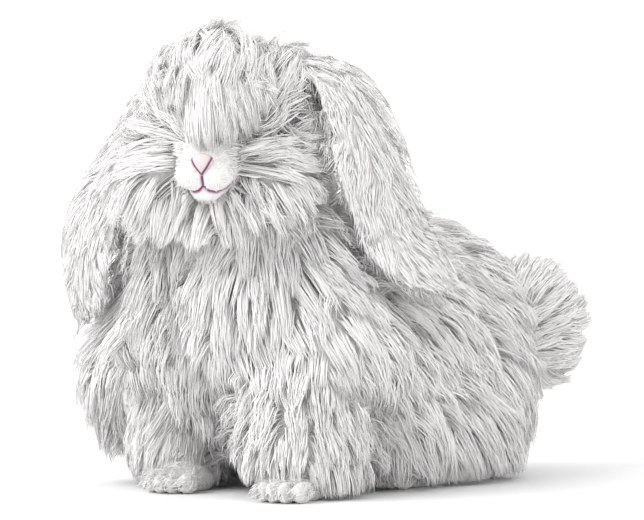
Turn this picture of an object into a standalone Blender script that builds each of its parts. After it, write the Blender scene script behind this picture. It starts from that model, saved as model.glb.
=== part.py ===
"""A life-size lop-eared angora rabbit, sitting, as a still model.

Metres, +Z up. The rabbit faces -Y with its left side at +X, and its head is turned to its left.
The origin is on the floor, under the middle of the whole model.
"""

import math
import random
from collections import namedtuple

import bmesh
import bpy
from mathutils import Matrix, Vector
from mathutils.bvhtree import BVHTree

# Driving dimensions
GAP = 0.0003
HEM_HEIGHT = 0.006
HEAD_CENTRE = Vector((0.012, -0.088, 0.240))
HEAD_TURN = math.radians(30)
HEAD_NOD = math.radians(10)
EYE_RADIUS = 0.009
EYE_SIDE = 0.0225
EAR_LENGTH = 0.226
EAR_HALF_WIDTH = 0.038
EAR_THICKNESS = 0.009
EAR_COAT = 0.010
SEED = 14

# A mass is one rounded part of the coated body: its middle, and how far its core and the coat's tips reach.
Mass = namedtuple("Mass", "centre core tips")

BODY_MASSES = (
    Mass((0, -0.036, 0.116), (0.100, 0.068, 0.072), (0.124, 0.086, 0.090)),
    Mass((0, 0.046, 0.104), (0.094, 0.088, 0.078), (0.120, 0.100, 0.094)),
    Mass((0, 0.114, 0.098), (0.084, 0.070, 0.080), (0.108, 0.087, 0.097)),
    Mass((0.078, -0.040, 0.096), (0.040, 0.046, 0.048), (0.052, 0.058, 0.060)),
    Mass((-0.084, -0.042, 0.076), (0.046, 0.050, 0.056), (0.060, 0.062, 0.072)),
    Mass((0.056, 0.096, 0.062), (0.044, 0.074, 0.060), (0.057, 0.092, 0.072)),
    Mass((-0.056, 0.096, 0.062), (0.044, 0.074, 0.060), (0.057, 0.092, 0.072)),
    Mass((0, 0.108, 0.044), (0.082, 0.074, 0.038), (0.102, 0.092, 0.050)),
    Mass((0.060, 0.020, 0.052), (0.042, 0.062, 0.046), (0.056, 0.076, 0.058)),
    Mass((-0.060, 0.020, 0.052), (0.042, 0.062, 0.046), (0.056, 0.076, 0.058)),
)
NECK_MASS = Mass((0.002, -0.059, 0.170), (0.082, 0.054, 0.052), (0.108, 0.071, 0.064))
TAIL_MASS = Mass((0.034, 0.224, 0.104), (0.033, 0.032, 0.041), (0.046, 0.044, 0.056))

# The head's masses are in the head's own frame: +X its left, -Y its nose, +Z its crown.
HEAD_MASSES = (
    Mass((0, -0.006, 0.040), (0.030, 0.030, 0.024), (0.044, 0.044, 0.040)),
    Mass((0.038, 0.012, 0.028), (0.020, 0.024, 0.026), (0.034, 0.036, 0.040)),
    Mass((-0.030, 0.012, 0.026), (0.017, 0.024, 0.024), (0.027, 0.036, 0.038)),
    Mass((0.042, 0.002, 0.000), (0.024, 0.026, 0.026), (0.041, 0.038, 0.042)),
    Mass((-0.034, 0.002, 0.000), (0.020, 0.026, 0.026), (0.033, 0.038, 0.042)),
    Mass((0.038, 0.000, -0.026), (0.026, 0.030, 0.029), (0.044, 0.046, 0.048)),
    Mass((-0.038, 0.000, -0.026), (0.026, 0.030, 0.029), (0.044, 0.046, 0.048)),
    Mass((0, -0.006, -0.042), (0.036, 0.028, 0.020), (0.056, 0.044, 0.036)),
    Mass((0, 0.026, 0.004), (0.046, 0.030, 0.045), (0.064, 0.042, 0.064)),
)

# The bare head from nose to nape: how far back, half width, top, bottom.
HEAD_STATIONS = (
    (-0.0600, 0.0085, -0.0040, -0.0200),
    (-0.0565, 0.0135, 0.0015, -0.0265),
    (-0.0500, 0.0175, 0.0055, -0.0310),
    (-0.0390, 0.0200, 0.0115, -0.0340),
    (-0.0230, 0.0230, 0.0195, -0.0360),
    (-0.0060, 0.0275, 0.0275, -0.0380),
    (0.0120, 0.0320, 0.0325, -0.0380),
    (0.0300, 0.0320, 0.0310, -0.0340),
    (0.0450, 0.0260, 0.0230, -0.0240),
    (0.0540, 0.0140, 0.0100, -0.0100),
)

# Small rounded parts of the face, in the head's frame, and of the feet, in the foot's: middle and reach.
LIP_PAD = ((0.0085, -0.0540, -0.0145), (0.0110, 0.0110, 0.0095))
CHIN = ((0, -0.0480, -0.0270), (0.0100, 0.0100, 0.0070))
NOSE = ((0, -0.0620, -0.0045), (0.0072, 0.0050, 0.0050))
NOSTRIL = ((0.0037, -0.0668, -0.0050), (0.0026, 0.0022, 0.0010))
NOSTRIL_SLANT = math.radians(35)
FACE_CLEARING = ((0, -0.074, -0.010), (0.021, 0.030, 0.021))
EYE_CLEARING = ((0.055, -0.012, 0.010), (0.0265, 0.0135, 0.0115))
EYE_CLEARING_TURN = math.radians(-14)
EAR_ROOT = ((0.031, 0.026, 0.030), (0.024, 0.022, 0.020))
TAIL_ROOT = ((0.028, 0.200, 0.096), (0.028, 0.030, 0.030))
PALM = ((0, 0.008, 0.0080), (0.0165, 0.0270, 0.0125))
PAW_TOE = ((0, -0.0165, 0.0075), (0.0060, 0.0110, 0.0085))
PAW_TOE_STEP = 0.0090
HEEL = ((0, 0.034, 0.009), (0.0150, 0.0310, 0.0120))
SOLE = ((0, -0.012, 0.008), (0.0140, 0.0440, 0.0105))
FOOT_TOE = ((0, -0.0460, 0.0070), (0.0052, 0.0130, 0.0080))
FOOT_TOE_STEP = 0.0072
MIDDLE_TOES_AHEAD = 0.0045

# The rim of the lids: how far from the middle it lies, how far round, half as thick, and its tilt.
LID_SIDE = 0.0275
LID_REACH = 0.0088
LID_HALF_THICK = 0.0018
LID_TURN = math.radians(82)

# A foreleg's wool, by side: its top and its foot, and how far it reaches round each.
Leg = namedtuple("Leg", "top foot core_top core_foot tips_top tips_foot")
LEGS = {
    1: Leg((0.060, -0.052, 0.102), (0.063, -0.063, 0.034), 0.028, 0.036, 0.041, 0.051),
    -1: Leg((-0.062, -0.050, 0.100), (-0.048, -0.062, 0.034), 0.029, 0.026, 0.042, 0.036),
}

# Where one part ends and the next begins: the middle and reach of each part's own room.
HEAD_ROOM = ((0, 0.004, 0.000), (0.084, 0.082, 0.084))
NECK_ROOM = ((0.002, -0.066, 0.174), (0.118, 0.092, 0.060))
TAIL_ROOM = ((0.036, 0.231, 0.104), (0.052, 0.050, 0.063))
HIND_ROOM = ((0.074, 0.098, 0.056), (0.056, 0.100, 0.086))

LEG_ROOM_GROWTH = 0.009
LEG_ROOM_DROP = 0.50

PAW_PLACES = {1: Vector((0.078, -0.086, 0)), -1: Vector((-0.030, -0.078, 0))}
PAW_TURN = math.radians(12)
FOOT_PLACES = {1: Vector((0.068, 0.074, 0)), -1: Vector((-0.068, 0.074, 0))}

# The ears' middle lines in the head's frame, from the crown to the tip. The left ear trails over
# the shoulder.
EAR_LINES = {
    1: (
        (0.026, 0.026, 0.044),
        (0.054, 0.020, 0.050),
        (0.083, 0.008, 0.038),
        (0.101, 0.000, 0.002),
        (0.112, -0.002, -0.036),
        (0.126, -0.002, -0.070),
        (0.162, 0.004, -0.106),
    ),
    -1: (
        (-0.026, 0.026, 0.030),
        (-0.050, 0.026, 0.030),
        (-0.063, 0.022, 0.006),
        (-0.079, 0.018, -0.022),
        (-0.096, 0.018, -0.052),
        (-0.106, 0.022, -0.086),
        (-0.106, 0.028, -0.134),
    ),
}
# Across the hanging left ear, from its front edge to its back edge, in the head's frame.
EAR_ACROSS = Vector((0.69, 0.72, 0))
EAR_CUP = 0.30
EAR_FRINGE = 14
EAR_ROUND_FROM = 0.72

# The coat's locks, by region: how far apart they grow, how long, half as wide and half as thick they are,
# how deep their roots are sunk, how high they arch and how high their tips end, both as a share of the
# coat's reach, how far they stand past it, and their width along them.
Locks = namedtuple("Locks", "spacing length half_width half_thick sink arch end proud shape")
ROUND = (0.80, 1.0, 0.80)
POINTED = (0.90, 1.0, 0.58)
COAT = {
    "head": Locks(0.0225, 0.052, 0.0155, 0.0060, 0.007, 1.35, 1.05, 0.006, POINTED),
    "neck": Locks(0.0330, 0.062, 0.0240, 0.0090, 0.008, 1.50, 0.85, 0.005, ROUND),
    "torso": Locks(0.0380, 0.064, 0.0275, 0.0105, 0.008, 1.50, 0.85, 0.005, ROUND),
    "hindleg": Locks(0.0360, 0.058, 0.0265, 0.0100, 0.008, 1.50, 0.85, 0.006, ROUND),
    "foreleg": Locks(0.0310, 0.048, 0.0215, 0.0085, 0.008, 1.45, 0.85, 0.003, ROUND),
    "tail": Locks(0.0280, 0.038, 0.0190, 0.0080, 0.007, 1.40, 0.95, 0.007, ROUND),
    "ear": Locks(0.0270, 0.048, 0.0165, 0.0045, 0.003, 1.20, 0.95, 0.002, POINTED),
}
# No lock grows on the bare muzzle or round the eyes, in the head's frame, nor on the front of a forepaw.
BARE_SPOTS = (((0, -0.062, -0.010), 0.031), ((0.046, -0.014, 0.010), 0.015), ((-0.046, -0.014, 0.010), 0.015))
PAW_FRONT = Vector((0, -0.014, 0))
PAW_BARE = 0.020
LOWEST_ROOT = 0.016
LOCK_SHARES = (0.0, 0.38, 0.74)
LOCK_SIDES = 4
COAT_TRIANGLES = 4800
EAR_TRIANGLES = 440

COLOURS = {
    "wool": (0.80, 0.79, 0.78),
    "short_fur": (0.83, 0.81, 0.80),
    "nose_skin": (0.72, 0.38, 0.40),
    "eye": (0.05, 0.03, 0.03),
}
ROUGHNESS = {"wool": 0.9, "short_fur": 0.85, "nose_skin": 0.5, "eye": 0.08}


def clear_scene():
    for thing in list(bpy.data.objects):
        bpy.data.objects.remove(thing)


def make_finishes():
    """One plain material for each finish, by name."""
    made = {}
    for name, colour in COLOURS.items():
        material = bpy.data.materials.new(name)
        material.use_nodes = True
        shader = material.node_tree.nodes["Principled BSDF"]
        shader.inputs["Base Color"].default_value = (*colour, 1)
        shader.inputs["Roughness"].default_value = ROUGHNESS[name]
        made[name] = material
    return made


def new_solid(name, corners, faces):
    mesh = bpy.data.meshes.new(name)
    mesh.from_pydata([tuple(corner) for corner in corners], [], faces)
    body = bmesh.new()
    body.from_mesh(mesh)
    bmesh.ops.recalc_face_normals(body, faces=body.faces)
    bmesh.ops.triangulate(body, faces=body.faces)
    body.to_mesh(mesh)
    body.free()
    solid = bpy.data.objects.new(name, mesh)
    bpy.context.scene.collection.objects.link(solid)
    return solid


def skin_of_rings(rings):
    """The faces of a closed body whose rings of corners follow one another, the ends capped."""
    sides = len(rings[0])
    corners = [corner for ring in rings for corner in ring]
    faces = [tuple(reversed(range(sides))), tuple(len(corners) - sides + k for k in range(sides))]
    for r in range(len(rings) - 1):
        for k in range(sides):
            here = r * sides + k
            after = r * sides + (k + 1) % sides
            faces.append((here, after, after + sides, here + sides))
    return corners, faces


def ellipsoid(name, centre, radii, placed=Matrix.Identity(4), segments=16, rings=10):
    body = bmesh.new()
    bmesh.ops.create_uvsphere(body, u_segments=segments, v_segments=rings, radius=1)
    shape = placed @ Matrix.Translation(Vector(centre)) @ Matrix.Diagonal((*radii, 1))
    bmesh.ops.transform(body, matrix=shape, verts=body.verts)
    mesh = bpy.data.meshes.new(name)
    body.to_mesh(mesh)
    body.free()
    solid = bpy.data.objects.new(name, mesh)
    bpy.context.scene.collection.objects.link(solid)
    return solid


def rounded(name, shape, side=1, placed=Matrix.Identity(4), segments=16, rings=8, grow=0.0):
    """An ellipsoid from a middle and reach given for the left side."""
    centre, reach = shape
    radii = [r + grow for r in reach]
    return ellipsoid(name, mirrored(centre, side), radii, placed, segments, rings)


def block(name, low, high, placed=Matrix.Identity(4)):
    body = bmesh.new()
    bmesh.ops.create_cube(body, size=1)
    size = high - low
    shape = placed @ Matrix.Translation((low + high) / 2) @ Matrix.Diagonal((*size, 1))
    bmesh.ops.transform(body, matrix=shape, verts=body.verts)
    mesh = bpy.data.meshes.new(name)
    body.to_mesh(mesh)
    body.free()
    solid = bpy.data.objects.new(name, mesh)
    bpy.context.scene.collection.objects.link(solid)
    return solid


def tube(name, line, radii, sides=10):
    """A closed tube of round rings along a line of points, one radius to a point."""
    rings = []
    for i, point in enumerate(line):
        ahead = (line[min(i + 1, len(line) - 1)] - line[max(i - 1, 0)]).normalized()
        across = ahead.orthogonal().normalized()
        beside = ahead.cross(across)
        turns = [math.tau * k / sides for k in range(sides)]
        rings.append([point + radii[i] * (math.cos(a) * across + math.sin(a) * beside) for a in turns])
    return new_solid(name, *skin_of_rings(rings))


def copy_of(solid, name):
    twin = bpy.data.objects.new(name, solid.data.copy())
    bpy.context.scene.collection.objects.link(twin)
    return twin


def combine(target, operation, others):
    """Applies one Boolean of closed solids to the target. The many small cuts are quick with MANIFOLD."""
    operands = bpy.data.collections.new("operands")
    for other in others:
        operands.objects.link(other)
    cut = target.modifiers.new("combine", "BOOLEAN")
    cut.solver = "MANIFOLD"
    cut.operation = operation
    cut.operand_type = "COLLECTION"
    cut.collection = operands
    settle(target)
    bpy.data.collections.remove(operands)


def discard(solids):
    for solid in solids:
        bpy.data.objects.remove(solid)


def keep_largest(solid):
    """Leaves only the closed surface with the most volume."""
    body = bmesh.new()
    body.from_mesh(solid.data)
    waiting = set(body.verts)
    shells = []
    while waiting:
        shell = {waiting.pop()}
        edge_of_shell = list(shell)
        while edge_of_shell:
            corner = edge_of_shell.pop()
            for edge in corner.link_edges:
                other = edge.other_vert(corner)
                if other not in shell:
                    shell.add(other)
                    edge_of_shell.append(other)
        waiting -= shell
        shells.append(shell)
    if len(shells) > 1:
        kept = max(shells, key=spread)
        bmesh.ops.delete(body, geom=[v for v in body.verts if v not in kept], context="VERTS")
        body.to_mesh(solid.data)
    body.free()


def spread(shell):
    """The volume of the box around a set of corners."""
    sides = [max(v.co[k] for v in shell) - min(v.co[k] for v in shell) for k in range(3)]
    return sides[0] * sides[1] * sides[2]


def mirrored(vector, side):
    return Vector((vector[0] * side, vector[1], vector[2]))


def head_frame():
    """The head's own frame in the model's."""
    turned = Matrix.Rotation(HEAD_TURN, 4, "Z") @ Matrix.Rotation(HEAD_NOD, 4, "X")
    return Matrix.Translation(HEAD_CENTRE) @ turned


def bare_head(head):
    """The short-furred head, a skin over its stations."""
    sides = 18
    rings = []
    for back, half_width, top, bottom in HEAD_STATIONS:
        middle = (top + bottom) / 2
        half_height = (top - bottom) / 2
        ring = []
        for k in range(sides):
            turn = math.tau * k / sides
            ring.append(
                head @ Vector((half_width * math.cos(turn), back, middle + half_height * math.sin(turn)))
            )
        rings.append(ring)
    return new_solid("bare_head", *skin_of_rings(rings))


def muzzle_pieces(head):
    """The two lip pads, which meet in the cleft and leave the mouth's line over the chin."""
    return [
        rounded("lip_pad", LIP_PAD, 1, head, 10, 7),
        rounded("lip_pad", LIP_PAD, -1, head, 10, 7),
        rounded("chin", CHIN, 1, head, 8, 6),
    ]


def nose_pad(head, grow=0.0):
    return rounded("nose", NOSE, 1, head, 10, 7, grow)


def nostril(head, side):
    """A slanting slit to cut in the nose pad, beside its middle."""
    centre, reach = NOSTRIL
    slant = Matrix.Rotation(side * NOSTRIL_SLANT, 4, "Y")
    placed = head @ Matrix.Translation(mirrored(centre, side)) @ slant
    return ellipsoid("nostril", (0, 0, 0), reach, placed, 8, 6)


def eye_ball(head, side, grow=0.0):
    eye = ((EYE_SIDE, -0.004, 0.009), (EYE_RADIUS,) * 3)
    return rounded("eye", eye, side, head, 12, 8, grow)


def face_clearing(head):
    """The short-haired front of the face, kept clear of the long wool."""
    return rounded("clearing", FACE_CLEARING, 1, head, 14, 8)


def lid_ring(head, side):
    """The rim of skin round the eye, standing a little proud."""
    turn = Matrix.Rotation(side * LID_TURN, 4, "Y")
    placed = head @ Matrix.Translation((side * LID_SIDE, -0.004, 0.009)) @ turn
    sides, turns = 4, 12
    corners, faces = [], []
    for i in range(turns):
        around = math.tau * i / turns
        after = (i + 1) % turns * sides
        for k in range(sides):
            about = math.tau * k / sides
            reach = LID_REACH + LID_HALF_THICK * math.cos(about)
            rise = LID_HALF_THICK * math.sin(about)
            corners.append(placed @ Vector((reach * math.cos(around), reach * math.sin(around), rise)))
            beside = (k + 1) % sides
            faces.append((i * sides + k, after + k, after + beside, i * sides + beside))
    return new_solid("lids", corners, faces)


def eye_clearing(head, side):
    """The short-haired hollow in the coat that the eye looks out of."""
    centre, reach = EYE_CLEARING
    turn = Matrix.Rotation(side * EYE_CLEARING_TURN, 4, "Z")
    placed = head @ Matrix.Translation(mirrored(centre, side)) @ turn
    return ellipsoid("clearing", (0, 0, 0), reach, placed, 12, 8)


def ear_points(side, head):
    """Points closely along an ear's middle line."""
    knots = [head @ Vector(point) for point in EAR_LINES[side]]
    fine = []
    for i in range(len(knots) - 1):
        before = knots[max(i - 1, 0)]
        after = knots[min(i + 2, len(knots) - 1)]
        for step in range(12):
            t = step / 12
            a, b = knots[i], knots[i + 1]
            fine.append(
                0.5 * (
                    2 * a + (b - before) * t + (2 * before - 5 * a + 4 * b - after) * t * t
                    + (3 * a - before - 3 * b + after) * t ** 3
                )
            )
    fine.append(knots[-1])
    return fine


def ear_station(line, share):
    """The point and the direction at a share of the ear's middle line."""
    whole = sum((b - a).length for a, b in zip(line, line[1:]))
    wanted = share * min(whole, EAR_LENGTH)
    for a, b in zip(line, line[1:]):
        step = (b - a).length
        if wanted <= step or b is line[-1]:
            return a + (b - a) * (wanted / step), (b - a).normalized()
        wanted -= step
    return line[-1], (line[-1] - line[-2]).normalized()


def ear_width(share):
    """Narrow and rolled at the root, widest past the middle, round at the tip."""
    rise = min(1.0, 0.42 + 1.25 * share)
    past = max(0.0, (share - EAR_ROUND_FROM) / (1 - EAR_ROUND_FROM))
    tip = math.sqrt(max(0.0, 1 - past ** 2))
    return EAR_HALF_WIDTH * rise * (0.15 + 0.85 * tip)


def ear_flap(name, side, head, thickness, widen=0.0, grow=0.0):
    """A hanging leaf with a shallow cup on the side that faces the cheek."""
    points = ear_points(side, head)
    wide = head.to_3x3() @ mirrored(EAR_ACROSS, side)
    stations, half_sides = 12, 4
    rings = []
    for i in range(stations):
        share = i / (stations - 1)
        point, ahead = ear_station(points, share)
        if i == stations - 1:
            point = point + ahead * grow
        if i == 0:
            point = point - ahead * grow
        across = (wide - ahead * wide.dot(ahead)).normalized()
        out = ahead.cross(across) * side
        half_width = max(ear_width(share) + widen, 0.003) + grow
        half_thick = thickness / 2 * (0.45 + 0.55 * math.sin(math.pi * min(1, 0.25 + 0.75 * share))) + grow
        cup = EAR_CUP * half_width
        ring = []
        for face_side in (1, -1):
            for k in range(half_sides):
                t = face_side * (-1 + 2 * (k + 0.5) / half_sides)
                bulge = math.sqrt(1 - 0.85 * t * t)
                height = face_side * half_thick * bulge - cup * t * t
                ring.append(point + across * (t * half_width) + out * height)
        rings.append(ring)
    return new_solid(name, *skin_of_rings(rings))


def toes(shape, step, placed, segments, grow):
    """Four toes side by side, the middle two ahead."""
    (_, back, height), reach = shape
    made = []
    for k in range(4):
        ahead = MIDDLE_TOES_AHEAD if k in (1, 2) else 0
        centre = ((k - 1.5) * step, back - ahead, height)
        made.append(rounded("toe", (centre, reach), 1, placed, segments, 5, grow))
    return made


def paw_pieces(side, grow=0.0):
    """A forepaw: the palm and its toes."""
    placed = Matrix.Translation(PAW_PLACES[side]) @ Matrix.Rotation(PAW_TURN, 4, "Z")
    palm = rounded("palm", PALM, 1, placed, 10, 6, grow)
    return [palm, *toes(PAW_TOE, PAW_TOE_STEP, placed, 8, grow)]


def foot_pieces(side, grow=0.0):
    """A long hind foot lying flat: heel, sole and toes."""
    placed = Matrix.Translation(FOOT_PLACES[side])
    heel = rounded("heel", HEEL, 1, placed, 8, 5, grow)
    sole = rounded("sole", SOLE, 1, placed, 8, 5, grow)
    return [heel, sole, *toes(FOOT_TOE, FOOT_TOE_STEP, placed, 6, grow)]


def flat_on_floor(name, pieces):
    """Joins a foot's pieces and cuts them off at the floor, so that the sole is one flat."""
    foot = pieces[0]
    foot.name = name
    combine(foot, "UNION", pieces[1:])
    room = block("room", Vector((-1, -1, 0)), Vector((1, 1, 1)))
    combine(foot, "INTERSECT", [room])
    discard(pieces[1:] + [room])
    keep_largest(foot)
    return foot


def leg_mass(side, layer, grow=0.0, lowered=0.0):
    """A foreleg's wool out to its core or its tips: a column with domed ends that widens to the foot."""
    leg = LEGS[side]
    foot = Vector(leg.foot)
    top = Vector(leg.top).lerp(foot, lowered)
    top_reach = getattr(leg, layer + "_top") + grow
    foot_reach = getattr(leg, layer + "_foot") + grow
    down = (foot - top).normalized()
    line, radii = [], []
    for turn in (80, 55, 28):
        angle = math.radians(turn)
        line.append(top - down * top_reach * math.sin(angle))
        radii.append(top_reach * math.cos(angle))
    for share in (0, 0.33, 0.67, 1):
        line.append(top.lerp(foot, share))
        radii.append(top_reach + (foot_reach - top_reach) * share)
    for turn in (28, 55, 80):
        angle = math.radians(turn)
        line.append(foot + down * foot_reach * math.sin(angle))
        radii.append(foot_reach * math.cos(angle))
    return tube("leg", line, radii, 16)


def melt(pieces, triangles):
    """Joins overlapping masses into one smooth closed skin of about so many triangles."""
    skin = pieces[0]
    combine(skin, "UNION", pieces[1:])
    discard(pieces[1:])
    grid = skin.modifiers.new("grid", "REMESH")
    grid.mode = "VOXEL"
    grid.voxel_size = 0.006
    smooth = skin.modifiers.new("smooth", "SMOOTH")
    smooth.factor = 0.5
    smooth.iterations = 5
    settle(skin)
    return simplify(skin, triangles)


def simplify(solid, triangles):
    """Thins a mesh to about so many triangles."""
    count = sum(len(polygon.vertices) - 2 for polygon in solid.data.polygons)
    reduce = solid.modifiers.new("reduce", "DECIMATE")
    reduce.ratio = min(1, triangles / count)
    settle(solid)
    return solid


def settle(solid):
    """Applies the modifiers."""
    graph = bpy.context.evaluated_depsgraph_get()
    mesh = bpy.data.meshes.new_from_object(solid.evaluated_get(graph))
    solid.modifiers.clear()
    solid.data = mesh


def trunk_and_ball(head, layer, trunk_triangles, ball_triangles):
    """The coat of the trunk and legs, of the head, and of the tail, out to one layer of each mass."""
    trunk = [ellipsoid("mass", m.centre, getattr(m, layer)) for m in (*BODY_MASSES, NECK_MASS)]
    trunk += [leg_mass(side, layer) for side in (1, -1)]
    ball = [ellipsoid("mass", m.centre, getattr(m, layer), head) for m in HEAD_MASSES]
    ball += [ear_root(head, side) for side in (1, -1)]
    tail = ellipsoid("mass", TAIL_MASS.centre, getattr(TAIL_MASS, layer))
    tail_root = rounded("mass", TAIL_ROOT)
    return melt(trunk, trunk_triangles), melt(ball, ball_triangles), melt([tail, tail_root], 160)


def tree_of(solids):
    """One search tree over several solids' faces."""
    corners, faces = [], []
    for solid in solids:
        start = len(corners)
        corners += [v.co.copy() for v in solid.data.vertices]
        faces += [[start + k for k in polygon.vertices] for polygon in solid.data.polygons]
    return BVHTree.FromPolygons(corners, faces)


def inside(point, room, side=1, placed=Matrix.Identity(4)):
    """Whether a point is in a room."""
    centre, reach = room
    local = placed.inverted() @ point - mirrored(Vector(centre), side)
    return sum((local[k] / reach[k]) ** 2 for k in range(3)) < 1


def region_at(point, head):
    """The name of the coat's region at a point."""
    side = 1 if point.x > 0 else -1
    leg = LEGS[side]
    top, foot = Vector(leg.top), Vector(leg.foot)
    if inside(point, HEAD_ROOM, 1, head):
        return "head"
    if inside(point, TAIL_ROOM):
        return "tail"
    along = (point - top).dot(foot - top) / (foot - top).length_squared
    along = max(LEG_ROOM_DROP, min(1, along))
    if (point - top.lerp(foot, along)).length < leg.tips_foot:
        return "foreleg"
    if inside(point, HIND_ROOM, side):
        return "hindleg"
    return "neck" if inside(point, NECK_ROOM) else "torso"


def lie_at(point, region, head):
    """Which way the coat lies: away from the nose on the head, out from the tail's root, else back and down."""
    outward = math.copysign(min(1, abs(point.x) / 0.03), point.x)
    if region == "head":
        local = head.inverted() @ point
        return head.to_3x3() @ Vector((local.x, 0.018, local.z + 0.008)).normalized()
    if region == "tail":
        return (point - Vector(TAIL_MASS.centre) + Vector((0, 0.046, 0.020))).normalized()
    if region == "foreleg":
        return Vector((0.15 * outward, -0.10, -1)).normalized()
    if region == "neck":
        return Vector((0.40 * outward, 0.15, -1)).normalized()
    return Vector((0.45 * outward, 0.55, -1)).normalized()


def roots_on(solid, spacing_at, rng, tries):
    """Points spread evenly at random over a solid's skin, no two closer than the spacing there, if it has one."""
    solid.data.calc_loop_triangles()
    triangles = solid.data.loop_triangles
    corners = solid.data.vertices
    weights = [triangle.area for triangle in triangles]
    roots = []
    for triangle in rng.choices(triangles, weights, k=tries):
        a, b = sorted((rng.random(), rng.random()))
        one, two, three = (corners[k].co for k in triangle.vertices)
        point = one * a + two * (b - a) + three * (1 - b)
        spacing = spacing_at(point)
        if spacing and all((point - other).length > spacing for other in roots):
            roots.append(point)
    return roots


def lock(skin, tips, root, kind, lie, rng):
    """A flat tapered lock: its root is sunk in the core, and it rises to the coat's reach and bends to its lie."""
    length = kind.length * rng.uniform(0.85, 1.15)
    wide = kind.half_width * rng.uniform(0.88, 1.12)
    turn = rng.uniform(-0.28, 0.28)
    point, normal, _, _ = skin.find_nearest(root)
    away = tips.ray_cast(point + normal * 0.001, normal)[3]
    reach = min(max(away or 0, 0.006), 0.032) - kind.half_thick * 0.6 + kind.proud
    lie = Matrix.Rotation(turn, 3, normal) @ (lie - normal * lie.dot(normal)).normalized()
    landing, landing_normal, _, _ = skin.find_nearest(point + lie * length)
    tip = landing + landing_normal * reach * kind.end
    across = (tip - point).cross(normal).normalized()
    start = point - normal * kind.sink
    bend = point + normal * reach * kind.arch + (tip - point) * 0.30
    rings = []
    for share, width in zip(LOCK_SHARES, kind.shape):
        middle = start * (1 - share) ** 2 + bend * (2 * share * (1 - share)) + tip * share ** 2
        ahead = ((bend - start) * (1 - share) + (tip - bend) * share).normalized()
        up = across.cross(ahead)
        thick = kind.half_thick * (1 - 0.45 * share)
        ring = []
        for k in range(LOCK_SIDES):
            angle = math.tau * k / LOCK_SIDES
            ring.append(middle + across * (wide * width * math.cos(angle)) + up * (thick * math.sin(angle)))
        rings.append(ring)
    return tapered("lock", rings, tip)


def tapered(name, rings, tip):
    """A closed body over rings of corners that ends in one point."""
    corners = [corner for ring in rings for corner in ring] + [tip]
    sides = len(rings[0])
    faces = [tuple(range(sides))]
    for r in range(len(rings) - 1):
        for k in range(sides):
            here = r * sides + k
            after = r * sides + (k + 1) % sides
            faces.append((here, here + sides, after + sides, after))
    first = (len(rings) - 1) * sides
    for k in range(sides):
        faces.append((first + k, len(corners) - 1, first + (k + 1) % sides))
    return new_solid(name, corners, faces)


def coat_locks(cores, shells, head, rng):
    """The locks of the trunk, legs, head and tail, over their cores and out to their shells."""
    skin, tips = tree_of(cores), tree_of(shells)
    bare = [(head @ Vector(centre), reach) for centre, reach in BARE_SPOTS]
    bare += [(PAW_PLACES[side] + PAW_FRONT, PAW_BARE) for side in (1, -1)]

    def spacing_at(point):
        if point.z < LOWEST_ROOT or any((point - centre).length < reach for centre, reach in bare):
            return None
        return COAT[region_at(point, head)].spacing

    locks = []
    for core, tries in zip(cores, (6000, 3000, 800)):
        for root in roots_on(core, spacing_at, rng, tries):
            region = region_at(root, head)
            locks.append(lock(skin, tips, root, COAT[region], lie_at(root, region, head), rng))
    return locks


def whole_coat(head, rng):
    """All of the coated body in one: the trunk, neck, legs, tail and head, with their locks."""
    cores = trunk_and_ball(head, "core", 1100, 420)
    shells = trunk_and_ball(head, "tips", 1800, 900)
    locks = coat_locks(cores, shells, head, rng)
    discard(shells)
    whole = cores[0]
    rest = [*cores[1:], *locks]
    combine(whole, "UNION", rest)
    discard(rest)
    keep_largest(whole)
    simplify(whole, COAT_TRIANGLES)
    openings = [eye_clearing(head, side) for side in (1, -1)] + [face_clearing(head)]
    combine(whole, "DIFFERENCE", openings)
    discard(openings)
    keep_largest(whole)
    face = [bare_head(head), *muzzle_pieces(head), lid_ring(head, 1), lid_ring(head, -1)]
    combine(whole, "UNION", face)
    discard(face)
    above_floor = block("air", Vector((-1, -1, HEM_HEIGHT)), Vector((1, 1, 1)))
    combine(whole, "INTERSECT", [above_floor])
    discard([above_floor])
    keep_largest(whole)
    return whole


def ear_with_locks(side, head, rng):
    """A lop ear: a cupped leaf with locks that lie along it and fringe its edges and tip."""
    name = "ear_left" if side == 1 else "ear_right"
    ear = ear_flap(name, side, head, EAR_THICKNESS, -EAR_COAT * 0.7)
    shell = ear_flap("shell", side, head, EAR_THICKNESS + EAR_COAT)
    skin, tips = tree_of([ear]), tree_of([shell])
    points = ear_points(side, head)

    def spacing_at(_):
        return COAT["ear"].spacing

    def lie_along(point):
        nearest = min(range(len(points) - 1), key=lambda i: (points[i] - point).length_squared)
        ahead = (points[nearest + 1] - points[nearest]).normalized()
        away = point - points[nearest]
        return (ahead + away * EAR_FRINGE).normalized()

    roots = roots_on(ear, spacing_at, rng, 900)
    locks = [lock(skin, tips, root, COAT["ear"], lie_along(root), rng) for root in roots]
    combine(ear, "UNION", locks)
    discard(locks + [shell])
    keep_largest(ear)
    return simplify(ear, EAR_TRIANGLES)


def ear_room(side, head, grow=0.0):
    return ear_flap("room", side, head, EAR_THICKNESS + 2 * EAR_COAT, EAR_COAT * 0.2, grow)


def ear_root(head, side):
    """The wool-covered swelling at the crown that an ear hangs from."""
    return rounded("ear_root", EAR_ROOT, side, head, 14, 8)


def part_out(whole, name, room, taken):
    """One node: what the whole has inside this room and outside the rooms already taken."""
    node = copy_of(whole, name)
    combine(node, "INTERSECT", [room])
    if taken:
        combine(node, "DIFFERENCE", taken)
    keep_largest(node)
    return node


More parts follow.
